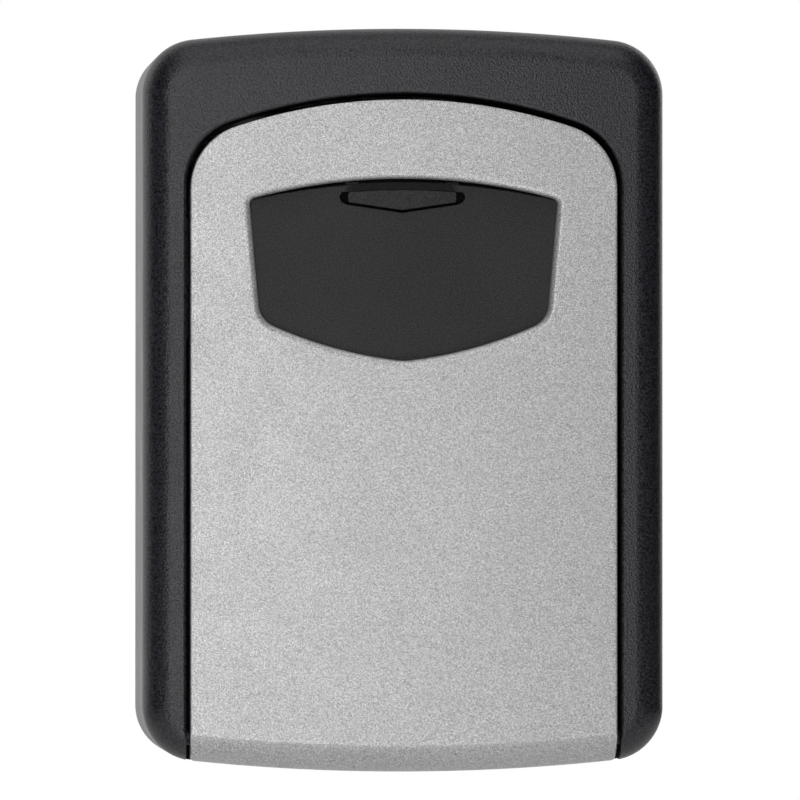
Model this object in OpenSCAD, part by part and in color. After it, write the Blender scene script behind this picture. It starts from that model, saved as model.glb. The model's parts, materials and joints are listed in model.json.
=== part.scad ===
// Wall-mounted combination key safe: a cast case, a drop-down door with a sliding shutter over four
// number dials, a pull-down opening button, a sprung latch and a lever inside for changing the code.
// The wall plane is y = 0, the front faces -Y, Z is up, and lengths are in millimetres.

/* [Case] */
// Width of the case at the wall
body_w = 85; // [80:0.5:110]
// Height of the case
body_h = 120; // [116:0.5:150]
// Depth from the wall to the front
body_d = 40; // [37:0.5:60]
// Corner radius of the case, seen from the front
corner_r = 9; // [7:0.5:12]
// Radius of the arch along the top and the bottom
body_arch_r = 325; // [250:5:600]
// Rounding of the front edge
edge_r = 4.2; // [1:0.1:4.5]
// How far each side leans in towards the front
side_lean = 0.65; // [0:0.05:1]
// Thickness of the back wall
wall_back = 2.5; // [2:0.1:4]
// Thickness of the floor
floor_t = 4.5; // [3.5:0.1:5]
// Width of the frame beside the door
side_rail = 7.1; // [6.5:0.1:9]
// Width of the frame above the door
top_rail = 10.6; // [9.5:0.1:14]
// Height of the recess that the latch bolts rise into
strike_h = 4.2; // [3.8:0.1:5]
// Radius of the wall screw holes
wall_hole_r = 2.5; // [2:0.1:3.5]
// Wall screw spacing across
wall_hole_x = 44; // [30:1:56]
// Wall screw spacing up
wall_hole_z = 76; // [40:1:88]
// Radius of the hinge pins
pin_r = 1.3; // [1.1:0.05:1.4]

/* [Door] */
// Gap between the door and the frame
door_gap = 1.0; // [0.8:0.05:1.4]
// Radius of the arch along the door's top
door_arch_r = 86; // [75:1:120]
// Radius of the door's upper corners
door_corner_r = 9.5; // [8:0.5:12]
// Thickness of the door's face
face_t = 2.2; // [2:0.1:2.6]
// Thickness of the door's flange
flange_t = 2.0; // [1.6:0.1:2.0]
// Depth of the door's flange, from the front
flange_d = 17.2; // [16.6:0.1:17.4]
// Radius of the curl along the door's bottom, which turns about the hinge
curl_r = 5.7; // [5.4:0.1:6]
// Space round the curl
curl_gap = 0.5; // [0.4:0.05:0.8]

/* [Window and shutter] */
// Distance from the door's top down to the window
window_drop = 12.5; // [12:0.1:13]
// Half the window's width at its top
window_half = 24.9; // [24.5:0.1:25.6]
// How far each side of the window leans in towards the bottom
window_taper = 1.7; // [0:0.1:3]
// Height of the window at its middle
window_h = 29.5; // [28:0.1:31]
// Height of the pointed lower edge
window_rise = 6.5; // [4:0.1:8]
// Radius of the arch along the window's top
window_arch_r = 93; // [80:1:120]
// Thickness of the shutter
shutter_t = 1.5; // [1.4:0.1:1.6]
// Overlap of the shutter behind each side of the window
shutter_lap = 1.6; // [1.4:0.1:1.7]
// Open strip above the shutter
shutter_drop = 1.1; // [0.8:0.1:1.6]
// Radius of the arch along the shutter's top
shutter_arch_r = 110; // [90:1:140]
// Play on each face of the shutter
shutter_gap = 0.2; // [0.15:0.01:0.3]
// Half the width of the finger recess
grip_half = 10; // [7:0.5:13]
// Depth of the finger recess
grip_depth = 0.8; // [0.4:0.1:0.9]

/* [Dials] */
// Radius of a dial
dial_r = 8; // [7.8:0.1:8.2]
// Width of a dial
dial_w = 5.8; // [5.6:0.1:5.9]
// Spacing of the dials
dial_pitch = 9.5; // [9.5:0.05:9.6]
// Height of the dials' axis below the door's top
dial_drop = 20.9; // [20.8:0.05:21.1]
// How far the dials stand out of their carrier
dial_show = 1.0; // [0.8:0.05:1.2]
// Radius of the spindle
spindle_r = 1.5; // [1.4:0.02:1.54]
// Running clearance of shafts in their bores
run_gap = 0.05; // [0.03:0.01:0.08]
// Radius of the gated discs on the hubs
gate_r = 5.5; // [5.3:0.05:5.6]
// Travel of the code change lever
change_travel = 1.6; // [1.5:0.02:1.66]

/* [Latch] */
// Travel of the opening button and of the latch
latch_travel = 3.0; // [2.8:0.05:3.05]
// Thickness of the pressed steel slide and latch
plate_t = 1.5; // [1.4:0.05:1.6]
// Space between the slide and the latch
plate_gap = 0.25; // [0.2:0.01:0.3]
// Width of a latch bolt
bolt_w = 8; // [6:0.5:8.4]
// Outer radius of the return springs
spring_r = 1.5; // [1.3:0.05:1.55]
// Wire thickness of the return springs
spring_wire = 0.45; // [0.3:0.05:0.6]

/* [Cover] */
// Thickness of the cover's plate
cover_t = 1.6; // [1.4:0.1:2]
// Radius of the cover screws
screw_r = 1.1; // [1:0.05:1.2]

/* [Hidden] */
$fn = 64;

// Steps in a rounded corner and in an arch, and the angle between the slices of a rounded edge
corner_steps = 8;
arch_steps = 12;
edge_step = 15;
// A cut runs this far past the face it goes through
past = 1;
// Thickness of the slices that a rounded body is wrapped round
slice_t = 0.02;
// Clearances between fixed pieces, round moving ones, and beside a wall
fit_gap = 0.1;
stop_gap = 0.2;
side_gap = 0.3;

// Case and door, seen from the front
front = -body_d;
opening_half = body_w / 2 - side_rail;
opening_top = body_h / 2 - top_rail;
door_half = opening_half - door_gap;
door_top = opening_top - door_gap;
door_arch_z = door_top - door_arch_r;
door_corner_x = door_half - door_corner_r;
door_corner_z = door_arch_z + sqrt(pow(door_arch_r - door_corner_r, 2) - pow(door_corner_x, 2));
door_corner_a = atan2(door_corner_z - door_arch_z, door_corner_x);
body_arch_z = body_h / 2 - body_arch_r;
body_corner_x = body_w / 2 - corner_r;
body_corner_z = body_arch_z + sqrt(pow(body_arch_r - corner_r, 2) - pow(body_corner_x, 2));
body_corner_a = atan2(body_corner_z - body_arch_z, body_corner_x);
cavity_floor = floor_t - body_h / 2;

// Hinge, and the tray behind the curl that catches the keys
hinge_y = front + curl_r;
hinge_z = curl_r - body_h / 2;
pin_deep = 2.4;
boss_long = 5.8;
boss_r = curl_r - flange_t - side_gap;
tray_rise = 3;
tray_lip = 6.8;

// Levels from the front back to the cover
dial_gap = 0.5;
lip_t = 1;
carrier_t = 1.2;
cover_gap = 0.6;
face_back = front + face_t;
shutter_front = face_back + shutter_gap;
shutter_back = shutter_front + shutter_t;
lip_front = shutter_back + shutter_gap;
lip_back = lip_front + lip_t;
dial_front = shutter_back + dial_gap;
dial_y = dial_front + dial_r;
dial_z = door_top - dial_drop;
carrier_front = dial_front + dial_show;
carrier_back = carrier_front + carrier_t;
cover_front = dial_y + dial_r + cover_gap;
cover_back = cover_front + cover_t;
flange_back = front + flange_d;
tray_deep = flange_back - hinge_y;
tray_a = atan2(tray_rise, tray_deep) + asin(curl_r / norm([tray_deep, tray_rise]));

// Window
window_flank_r = 70;
window_top_r = 1.1;
window_side_r = 4;
window_tip_r = 8;
window_top = door_top - window_drop;
window_tip = window_top - window_h;
window_low = [window_half - window_taper, window_tip + window_rise];

// Shutter, its finger recess and its rails
shutter_under = 3.7;
shutter_travel = 22;
rail_t = 1.4;
rail_lip = 1.2;
rail_spare = 2.5;
grip_lip = 0.9;
grip_bow = 0.5;
grip_end_drop = 3.5;
grip_tip_drop = 4.7;
grip_r = 1;
grip_tip_r = 6;
shutter_half = window_half + shutter_lap;
shutter_top = window_top - shutter_drop;
shutter_low = window_tip - shutter_under;
rail_side = shutter_half + shutter_gap;
rail_low = shutter_low - shutter_travel - rail_spare;
grip_top = shutter_top - grip_lip;
grip_end = shutter_top - grip_end_drop;
grip_tip = shutter_top - grip_tip_drop;

// Bulkhead, posts, carrier and cover
bulkhead_drop = 6.4;
bulkhead_t = 1.6;
post_out = 3.1;
post_down = 23;
post_up = 5.5;
post_base_r = 2.4;
post_r = 1.7;
carrier_down = 24.5;
carrier_up = 12;
carrier_half = 27.6;
ear_half = 2.6;
cover_inset = 1.2;
rim_t = 1.2;
bulkhead_low = window_tip - bulkhead_drop;
post_x = rail_side + post_out;
post_z = [dial_z - post_down, dial_z + post_up];
carrier_low = dial_z - carrier_down;
carrier_high = dial_z + carrier_up;
ear_x = door_half - flange_t - side_gap;

// Dials and hubs
spline_count = 10;
web_t = 1.3;
web_bore_r = 3.35;
spline_root_r = 3.25;
spline_r = 4.6;
spline_slot_r = 4.75;
spline_half = 0.5;
spline_slot_half = 0.65;
counterbore_r = 5;
groove_r = 0.6;
groove_out = 0.1;
barrel_r = 2.6;
hub_gap = 0.05;
hub_left = 4;
gate_t = 1.2;
gate_half = 1.2;
gate_floor_r = 2.7;
dial_x = [for (i = [-1.5:1:1.5]) i * dial_pitch];
dial_slot_half = dial_w / 2 + stop_gap;
dial_slot_r = dial_r + side_gap;
gate_left = dial_w / 2 + side_gap;
bore_r = spindle_r + run_gap;

// Spindle and code change lever, whose fork sits between two collars on the spindle
collar_t = 0.6;
collar_r = 2.6;
clip_t = 0.6;
clip_r = 2.8;
fork_t = 1.2;
fork_half = 4.2;
neck_half = 2.4;
tab_half_x = 3.4;
tab_half_z = 4.5;
tab_t = 1.8;
cheek_wide = 3;
cheek_thin = 2;
cheek_space = 2.5;
cheek_down = 6.5;
cheek_up = 6;
spindle_end_left = 2.7;
spindle_end_right = 0.8;
hub_end_left = dial_x[0] - hub_left;
hub_end_right = dial_x[3] - hub_left + dial_pitch - hub_gap;
collar_x = hub_end_left - hub_gap - collar_t;
fork_x = collar_x - fit_gap - fork_t;
far_collar_x = fork_x - fit_gap - collar_t;
cheek_left = [far_collar_x - side_gap - cheek_wide, far_collar_x - side_gap];
cheek_right = [hub_end_right + cheek_space, hub_end_right + cheek_space + cheek_thin];
cheek_z = [dial_z - cheek_down, dial_z + cheek_up];
spindle_left = far_collar_x - spindle_end_left;
spindle_right = cheek_right[0] + spindle_end_right;
clip_x = hub_end_right + hub_gap;

// Slide with its fence teeth
slide_side = 1;
slide_down = 12;
slide_low_bar = 3.5;
slide_high_bar = 2;
tooth_gap = 0.1;
tooth_lift = 0.4;
slide_y = dial_y - plate_t / 2;
slide_half = [cheek_right[1] + slide_side, carrier_half];
slide_low = [dial_z - slide_down, dial_z - slide_down + slide_low_bar];
slide_rest = dial_z + dial_r + latch_travel + side_gap;
slide_high = [slide_rest, slide_rest + slide_high_bar];
tooth_t = gate_t - 2 * tooth_gap;
tooth_tip = dial_z + gate_r + tooth_lift;

// Latch, whose feet stand on its springs
latch_lift = 1.1;
latch_bar_h = 1.8;
bolt_x = 12;
bolt_drop = 0.3;
lug_gap = 1.5;
lug_w = 4;
lug_t = 1.2;
foot_in = 1.2;
foot_drop = 0.6;
foot_t = 1.4;
foot_back = 2.2;
latch_y = dial_y + plate_t / 2 + plate_gap;
latch_bar = [dial_z + dial_r + latch_lift, dial_z + dial_r + latch_lift + latch_bar_h];
lug_x = [bolt_x + bolt_w / 2 + lug_gap, bolt_x + bolt_w / 2 + lug_gap + lug_w];
lug_z = [latch_bar[1] + latch_travel + stop_gap, latch_bar[1] + latch_travel + stop_gap + lug_t];
foot_x = [slide_half[0] - foot_in, slide_half[1] - stop_gap];
foot_z = [latch_bar[0] - foot_drop, latch_bar[0] - foot_drop + foot_t];

// Opening button
button_half = 9;
button_down = 13.5;
button_h = 6.6;
stem_half = 6;
peg_x = 4;
peg_r = 1.2;
button_z = [dial_z - button_down, dial_z - button_down + button_h];
stem_z = [slide_low[0] - fit_gap, slide_low[1] + stop_gap];
peg_z = (slide_low[0] + slide_low[1]) / 2;

// Return springs
latch_spring_back = 0.5;
latch_spring_down = 3.5;
slide_spring_x = 20;
slide_spring_down = 21.5;
seat_t = 1.5;
seat_clear = 0.5;
latch_spring_x = (foot_x[0] + foot_x[1]) / 2;
latch_spring_y = latch_y + plate_t + latch_spring_back;
latch_spring_z = [dial_z - latch_spring_down, foot_z[0]];
slide_spring_z = [dial_z - slide_spring_down, slide_low[0]];

// Strike recess, door stops and cored rails in the case
strike_side = 2;
strike_ahead = 0.4;
strike_behind = 5;
stop_in = 1.8;
stop_deep = 4;
stop_low = 10;
stop_h = 20;
core_inner_wall = 2.2;
core_outer_wall = 2.5;
core_deep = 26;
core_h = 24;
core_step = 27;
core_mid = -6;
strike_half = bolt_x + bolt_w / 2 + strike_side;
strike_front = latch_y - strike_ahead;
strike_back = flange_back + strike_behind;

// Screws and detent spring
screw_head_r = 2.1;
screw_head_t = 1.4;
screw_long = 9;
leaf_t = 0.35;
leaf_half = 1.6;
leaf_down = 14.5;
leaf_bar = 3.5;
leaf_up = 0.5;
leaf_low = [dial_z - leaf_down, dial_z - leaf_down + leaf_bar];
leaf_high = dial_z + leaf_up;

function arc(centre, r, from, to, steps) =
    [for (i = [0:steps]) let (a = from + (to - from) * i / steps) centre + r * [cos(a), sin(a)]];

function unit(v) = v / norm(v);

// The rounding of corner b between the points before and after it
function corner(a, b, c, r) =
    let (u = unit(a - b), v = unit(c - b), half = acos(u * v) / 2)
    let (centre = b + unit(u + v) * r / sin(half), p = b + u * r / tan(half) - centre)
    let (q = b + v * r / tan(half) - centre, start = atan2(p[1], p[0]))
    let (turn = (atan2(q[1], q[0]) - start + 900) % 360 - 180)
    arc(centre, r, start, start + turn, corner_steps);

// A closed outline with a radius for each point, where 0 leaves the point as it is
function rounded(points, radii) =
    let (n = len(points))
    [for (i = [0:n - 1]) each radii[i] == 0 ? [points[i]]
        : corner(points[(i + n - 1) % n], points[i], points[(i + 1) % n], radii[i])];

// The points of an arc from p to q that bulges to its right
function bulge(p, q, r, steps) =
    let (d = q - p, mid = (p + q) / 2, left = [-d[1], d[0]] / norm(d))
    let (centre = mid + left * sqrt(r * r - d * d / 4), u = p - centre, v = q - centre)
    let (start = atan2(u[1], u[0]), turn = (atan2(v[1], v[0]) - start + 900) % 360 - 180)
    arc(centre, r, start, start + turn, steps);

// The case's outline, drawn in by an inset
function body_outline(inset) = concat(
    arc([body_corner_x, body_corner_z], corner_r - inset, 0, body_corner_a, corner_steps),
    arc([0, body_arch_z], body_arch_r - inset, body_corner_a, 180 - body_corner_a, arch_steps),
    arc([-body_corner_x, body_corner_z], corner_r - inset, 180 - body_corner_a, 180, corner_steps),
    arc([-body_corner_x, -body_corner_z], corner_r - inset, 180, 180 + body_corner_a, corner_steps),
    arc([0, -body_arch_z], body_arch_r - inset, 180 + body_corner_a, 360 - body_corner_a, arch_steps),
    arc([body_corner_x, -body_corner_z], corner_r - inset, 360 - body_corner_a, 360, corner_steps));

// The sides and arched top that the door, its opening and the cover share
function door_sides(inset) = concat(
    arc([door_corner_x, door_corner_z], door_corner_r - inset, 0, door_corner_a, corner_steps),
    arc([0, door_arch_z], door_arch_r - inset, door_corner_a, 180 - door_corner_a, arch_steps),
    arc([-door_corner_x, door_corner_z], door_corner_r - inset, 180 - door_corner_a, 180, corner_steps));

// The same with a level bottom
function door_outline(inset, low) =
    concat(door_sides(inset), [[inset - door_half, low], [door_half - inset, low]]);

// The same with the case's arched bottom, raised
function door_arched(inset, raise) =
    let (r = body_arch_r - raise, a = asin((door_half - inset) / r))
    concat(door_sides(inset), arc([0, -body_arch_z], r, 270 - a, 270 + a, arch_steps));

function window_outline() =
    let (a = asin(window_half / window_arch_r), n = arch_steps)
    let (top = arc([0, window_top - window_arch_r], window_arch_r, 90 - a, 90 + a, n))
    let (low_left = [-window_low[0], window_low[1]])
    let (left = bulge(low_left, [0, window_tip], window_flank_r, n / 2))
    let (right = bulge([0, window_tip], window_low, window_flank_r, n / 2))
    let (points = concat(top, left, [for (i = [1:n / 2]) right[i]]), last = len(points) - 1)
    rounded(points, [for (i = [0:last]) i == 0 || i == n ? window_top_r
        : i == n + 1 || i == last ? window_side_r
        : i == n + 1 + n / 2 ? window_tip_r : 0]);

function shutter_outline() =
    let (a = asin(shutter_half / shutter_arch_r))
    concat(arc([0, shutter_top - shutter_arch_r], shutter_arch_r, 90 - a, 90 + a, arch_steps),
        [[-shutter_half, shutter_low], [shutter_half, shutter_low]]);

function grip_outline() = rounded(
    [[grip_half, grip_top - grip_bow], [0, grip_top], [-grip_half, grip_top - grip_bow],
        [-grip_half, grip_end], [0, grip_tip], [grip_half, grip_end]],
    [grip_r, 0, grip_r, grip_r, grip_tip_r, grip_r]);

// Draws a front-view shape between two depths
module slab(from, to) {
    translate([0, to, 0])
        rotate([90, 0, 0])
            linear_extrude(to - from)
                children();
}

// A box between two corners
module block(low, high) {
    translate(low)
        cube(high - low);
}

// Draws a side-view shape between two places across the width
module across(from, to) {
    translate([from, 0, 0])
        rotate([90, 0, 90])
            linear_extrude(to - from)
                children();
}

// A bar across the width
module cross_bar(from, to, y, z, r) {
    translate([from, y, z])
        rotate([0, 90, 0])
            cylinder(h = to - from, r = r);
}

// A bar from front to back
module deep_bar(from, to, x, z, r) {
    translate([x, to, z])
        rotate([90, 0, 0])
            cylinder(h = to - from, r = r);
}

// An upright bar
module upright_bar(from, to, x, y, r) {
    translate([x, y, from])
        cylinder(h = to - from, r = r);
}

// Repeats a shape on the other side
module both_sides() {
    children();
    mirror([1, 0, 0])
        children();
}

module housing_body() {
    hull() {
        for (a = [90:-edge_step:0]) {
            deep = edge_r * (1 - sin(a));
            lean = side_lean * (1 - deep / body_d);
            slab(front + deep, front + deep + slice_t)
                scale([1 - 2 * lean / body_w, 1])
                    polygon(body_outline(edge_r * (1 - cos(a))));
        }
        slab(-slice_t, 0)
            polygon(body_outline(0));
    }
}

module housing() {
    core_side = [opening_half + core_inner_wall, body_w / 2 - core_outer_wall];
    color("#3b3a3d") {
        difference() {
            housing_body();
            slab(front - past, -wall_back)
                polygon(door_outline(-door_gap, cavity_floor));
            block([-opening_half, front - past, -body_h / 2 - past],
                [opening_half, hinge_y, cavity_floor + past]);
            cross_bar(-opening_half, opening_half, hinge_y, hinge_z, curl_r + curl_gap);
            across(-opening_half, opening_half)
                translate([hinge_y, hinge_z])
                    rotate(tray_a)
                        translate([0, -curl_r - curl_gap])
                            square([tray_deep, curl_r + curl_gap]);
            block([-strike_half, strike_front, door_corner_z],
                [strike_half, strike_back, opening_top + strike_h]);
            for (x = [-wall_hole_x, wall_hole_x] / 2, z = [-wall_hole_z, wall_hole_z] / 2)
                deep_bar(-wall_back - past, past, x, z, wall_hole_r);
            both_sides() {
                cross_bar(opening_half - past, opening_half + pin_deep, hinge_y, hinge_z, pin_r);
                for (i = [-1:1])
                    block([core_side[0], -core_deep, core_mid + core_step * i - core_h / 2],
                        [core_side[1], past, core_mid + core_step * i + core_h / 2]);
            }
        }
        both_sides()
            block([opening_half - stop_in, flange_back + stop_gap, stop_low],
                [opening_half + past, flange_back + stop_gap + stop_deep, stop_low + stop_h]);
    }
}

module hinge_pin() {
    cross_bar(door_half - boss_long + door_gap, opening_half + pin_deep, hinge_y, hinge_z, pin_r);
}

module hinge_pin_left() {
    color("#b9bbbd")
        mirror([1, 0, 0])
            hinge_pin();
}

module hinge_pin_right() {
    color("#b9bbbd")
        hinge_pin();
}

// The door's body, wrapped round slices that follow the curl and the tray behind it
module door_shell() {
    hull() {
        for (a = [90:-edge_step:-90])
            slab(hinge_y - curl_r * sin(a), hinge_y - curl_r * sin(a) + slice_t)
                polygon(door_arched(0, curl_r * (1 - cos(a))));
        slab(flange_back - slice_t, flange_back)
            polygon(door_arched(0, curl_r + tray_rise));
    }
}

// The hollow of the door, which leaves an even wall round the curl
module door_hollow() {
    r = curl_r - flange_t;
    start = asin(min(1, (curl_r - face_t) / r));
    hull() {
        slab(face_back, face_back + slice_t)
            polygon(door_arched(flange_t, curl_r - r * cos(start)));
        for (a = [60:-edge_step:-90])
            slab(hinge_y - r * sin(a), hinge_y - r * sin(a) + slice_t)
                polygon(door_arched(flange_t, curl_r - r * cos(a)));
        slab(flange_back + past, flange_back + past + slice_t)
            polygon(door_arched(flange_t, curl_r + tray_lip));
    }
}

module door_post(z) {
    deep_bar(face_back, carrier_front, post_x, z, post_base_r);
    deep_bar(face_back, cover_front, post_x, z, post_r);
}

module door_face() {
    color("#b9babb")
        difference() {
            union() {
                difference() {
                    door_shell();
                    door_hollow();
                    slab(front - past, face_back + past)
                        polygon(window_outline());
                    both_sides()
                        block([bolt_x - bolt_w / 2 - stop_gap, latch_y - stop_gap, dial_z],
                            [bolt_x + bolt_w / 2 + stop_gap, latch_y + plate_t + stop_gap, opening_top]);
                }
                block([-door_half + flange_t / 2, lip_front, bulkhead_low],
                    [door_half - flange_t / 2, flange_back, bulkhead_low + bulkhead_t]);
                both_sides() {
                    block([rail_side, face_back - face_t / 2, rail_low],
                        [rail_side + rail_t, lip_back, window_top]);
                    block([rail_side - rail_lip, lip_front, rail_low],
                        [rail_side + rail_t, lip_back, window_top]);
                    for (z = post_z)
                        door_post(z);
                    cross_bar(door_half - boss_long, door_half - flange_t / 2, hinge_y, hinge_z, boss_r);
                }
            }
            both_sides() {
                cross_bar(door_half - boss_long - past, door_half + past, hinge_y, hinge_z, pin_r + run_gap);
                for (z = post_z)
                    deep_bar(cover_front - screw_long, cover_front + past, post_x, z, screw_r);
            }
        }
}

module shutter() {
    color("#383638")
        difference() {
            slab(shutter_front, shutter_back)
                polygon(shutter_outline());
            slab(shutter_front - past, shutter_front + grip_depth)
                polygon(grip_outline());
        }
}

module dial_carrier() {
    color("#232325")
        difference() {
            union() {
                slab(carrier_front, carrier_back) {
                    translate([-carrier_half, carrier_low])
                        square([2 * carrier_half, carrier_high - carrier_low]);
                    for (z = post_z)
                        translate([-ear_x, z - ear_half])
                            square([2 * ear_x, 2 * ear_half]);
                }
                block([cheek_left[0], carrier_front, cheek_z[0]], [cheek_left[1], cover_front, cheek_z[1]]);
                block([cheek_right[0], carrier_front, cheek_z[0]], [cheek_right[1], cover_front, cheek_z[1]]);
                block([cheek_left[0], carrier_front, slide_spring_z[0] - seat_t],
                    [cheek_right[1], dial_y + spring_r + seat_clear, slide_spring_z[0]]);
                latch_seat(cheek_right[1]);
                mirror([1, 0, 0])
                    latch_seat(-cheek_left[0]);
            }
            for (x = dial_x)
                cross_bar(x - dial_slot_half, x + dial_slot_half, dial_y, dial_z, dial_slot_r);
            block([-stem_half - stop_gap, carrier_front - past, stem_z[0] - latch_travel - stop_gap],
                [stem_half + stop_gap, carrier_back + past, stem_z[1] + stop_gap]);
            cross_bar(cheek_left[0] - past, cheek_right[1] + past, dial_y, dial_z, bore_r);
            both_sides()
                for (z = post_z)
                    deep_bar(carrier_front - past, carrier_back + past, post_x, z, post_r + fit_gap);
        }
}

// The shelf beside a cheek that a latch spring stands on
module latch_seat(cheek) {
    block([cheek - fit_gap, latch_spring_y - spring_r - stop_gap, latch_spring_z[0] - seat_t],
        [slide_half[1], latch_spring_y + spring_r + stop_gap, latch_spring_z[0]]);
}

// A splined outline, as a root circle and evenly spaced teeth
module spline(root_r, tip_r, half) {
    circle(r = root_r);
    for (i = [0:spline_count - 1])
        rotate(i * 360 / spline_count)
            translate([-half, 0])
                square([2 * half, tip_r]);
}

module dial(x) {
    left = x - dial_w / 2;
    right = x + dial_w / 2;
    color("#1f1f21")
        translate([0, dial_y, dial_z])
            difference() {
                across(left, right)
                    difference() {
                        circle(r = dial_r);
                        for (i = [0:spline_count - 1])
                            rotate(i * 360 / spline_count)
                                translate([0, dial_r + groove_out])
                                    circle(r = groove_r);
                    }
                across(left + web_t, right + past)
                    circle(r = counterbore_r);
                across(left - past, right)
                    spline(web_bore_r, spline_slot_r, spline_slot_half);
            }
}

module hub(x) {
    left = x - dial_w / 2;
    color("#c2b27c")
        translate([0, dial_y, dial_z])
            difference() {
                union() {
                    across(x - hub_left, x - hub_left + dial_pitch - hub_gap)
                        circle(r = barrel_r);
                    across(left, left + web_t - fit_gap)
                        spline(spline_root_r, spline_r, spline_half);
                    across(x + gate_left, x + gate_left + gate_t)
                        difference() {
                            circle(r = gate_r);
                            translate([-gate_half, gate_floor_r])
                                square([2 * gate_half, gate_r]);
                        }
                }
                across(x - hub_left - past, x + dial_pitch)
                    circle(r = bore_r);
            }
}

module dial_1() {
    dial(dial_x[0]);
}

module dial_2() {
    dial(dial_x[1]);
}

module dial_3() {
    dial(dial_x[2]);
}

module dial_4() {
    dial(dial_x[3]);
}

module hub_1() {
    hub(dial_x[0]);
}

module hub_2() {
    hub(dial_x[1]);
}

module hub_3() {
    hub(dial_x[2]);
}

module hub_4() {
    hub(dial_x[3]);
}

module spindle() {
    color("#c9cbcd") {
        cross_bar(spindle_left, spindle_right, dial_y, dial_z, spindle_r);
        cross_bar(collar_x, collar_x + collar_t, dial_y, dial_z, collar_r);
        cross_bar(far_collar_x, far_collar_x + collar_t, dial_y, dial_z, collar_r);
    }
}

// A snap ring, open to the front
module spindle_clip() {
    color("#8d8f92")
        difference() {
            cross_bar(clip_x, clip_x + clip_t, dial_y, dial_z, clip_r);
            cross_bar(clip_x - past, clip_x + clip_t + past, dial_y, dial_z, spindle_r);
            block([clip_x - past, dial_y - clip_r - past, dial_z - spindle_r],
                [clip_x + clip_t + past, dial_y, dial_z + spindle_r]);
        }
}

module change_lever() {
    color("#e3e1da") {
        difference() {
            block([fork_x, dial_y - spindle_r, dial_z - fork_half],
                [fork_x + fork_t, cover_front - stop_gap, dial_z + fork_half]);
            cross_bar(fork_x - past, fork_x + fork_t + past, dial_y, dial_z, bore_r);
            block([fork_x - past, dial_y - spindle_r - past, dial_z - bore_r],
                [fork_x + fork_t + past, dial_y, dial_z + bore_r]);
        }
        block([fork_x, dial_y + collar_r, dial_z - neck_half],
            [fork_x + fork_t, cover_back + stop_gap + tab_t, dial_z + neck_half]);
        block([fork_x + fork_t / 2 - tab_half_x, cover_back + stop_gap, dial_z - tab_half_z],
            [fork_x + fork_t / 2 + tab_half_x, cover_back + stop_gap + tab_t, dial_z + tab_half_z]);
    }
}

module slide_frame() {
    color("#9ea1a5")
        difference() {
            union() {
                slab(slide_y, slide_y + plate_t) {
                    difference() {
                        translate([-slide_half[1], slide_low[0]])
                            square([2 * slide_half[1], slide_high[1] - slide_low[0]]);
                        translate([-slide_half[0], slide_low[1]])
                            square([2 * slide_half[0], slide_high[0] - slide_low[1]]);
                    }
                    for (x = dial_x)
                        translate([x + gate_left + (gate_t - tooth_t) / 2, tooth_tip])
                            square([tooth_t, slide_high[0] - tooth_tip + fit_gap]);
                }
                both_sides() {
                    block([lug_x[0], slide_y, slide_high[0]], [lug_x[1], slide_y + plate_t, lug_z[1]]);
                    block([lug_x[0], slide_y, lug_z[0]], [lug_x[1], latch_y + plate_t, lug_z[1]]);
                }
            }
            both_sides()
                deep_bar(slide_y - past, slide_y + plate_t + past, peg_x, peg_z, peg_r + run_gap);
        }
}

module open_button() {
    color("#b8322b") {
        block([-button_half, dial_front, button_z[0]],
            [button_half, carrier_front - stop_gap, button_z[1]]);
        block([-stem_half, dial_front, stem_z[0]], [stem_half, slide_y, stem_z[1]]);
        both_sides()
            deep_bar(carrier_back, slide_y + plate_t, peg_x, peg_z, peg_r);
    }
}

module latch_plate() {
    color("#a7aaae") {
        slab(latch_y, latch_y + plate_t) {
            translate([-lug_x[1] - past, latch_bar[0]])
                square([2 * (lug_x[1] + past), latch_bar[1] - latch_bar[0]]);
            intersection() {
                for (x = [-bolt_x, bolt_x])
                    translate([x - bolt_w / 2, latch_bar[0]])
                        square([bolt_w, opening_top - latch_bar[0]]);
                translate([0, door_arch_z])
                    circle(r = door_arch_r - bolt_drop, $fn = 256);
            }
        }
        both_sides()
            block([lug_x[1], latch_y, foot_z[0]], [foot_x[1], latch_y + plate_t, latch_bar[1] - plate_t / 2]);
        both_sides()
            block([foot_x[0], latch_y, foot_z[0]], [foot_x[1], latch_spring_y + foot_back, foot_z[1]]);
    }
}

// A return spring, drawn as the sleeve that its coils fill
module spring(x, y, z) {
    difference() {
        upright_bar(z[0], z[1], x, y, spring_r);
        upright_bar(z[0] - past, z[1] + past, x, y, spring_r - spring_wire);
    }
}

module latch_spring_left() {
    color("#cfd1d3")
        spring(-latch_spring_x, latch_spring_y, latch_spring_z);
}

module latch_spring_right() {
    color("#cfd1d3")
        spring(latch_spring_x, latch_spring_y, latch_spring_z);
}

module slide_spring_left() {
    color("#cfd1d3")
        spring(-slide_spring_x, dial_y, slide_spring_z);
}

module slide_spring_right() {
    color("#cfd1d3")
        spring(slide_spring_x, dial_y, slide_spring_z);
}

// A spring comb against the cover, with one finger behind each dial
module detent_spring() {
    color("#d4c9a4")
        slab(cover_front - leaf_t, cover_front) {
            translate([dial_x[0] - leaf_half, leaf_low[0]])
                square([dial_x[3] - dial_x[0] + 2 * leaf_half, leaf_low[1] - leaf_low[0]]);
            for (x = dial_x)
                translate([x - leaf_half, leaf_low[0]])
                    square([2 * leaf_half, leaf_high - leaf_low[0]]);
        }
}

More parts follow.
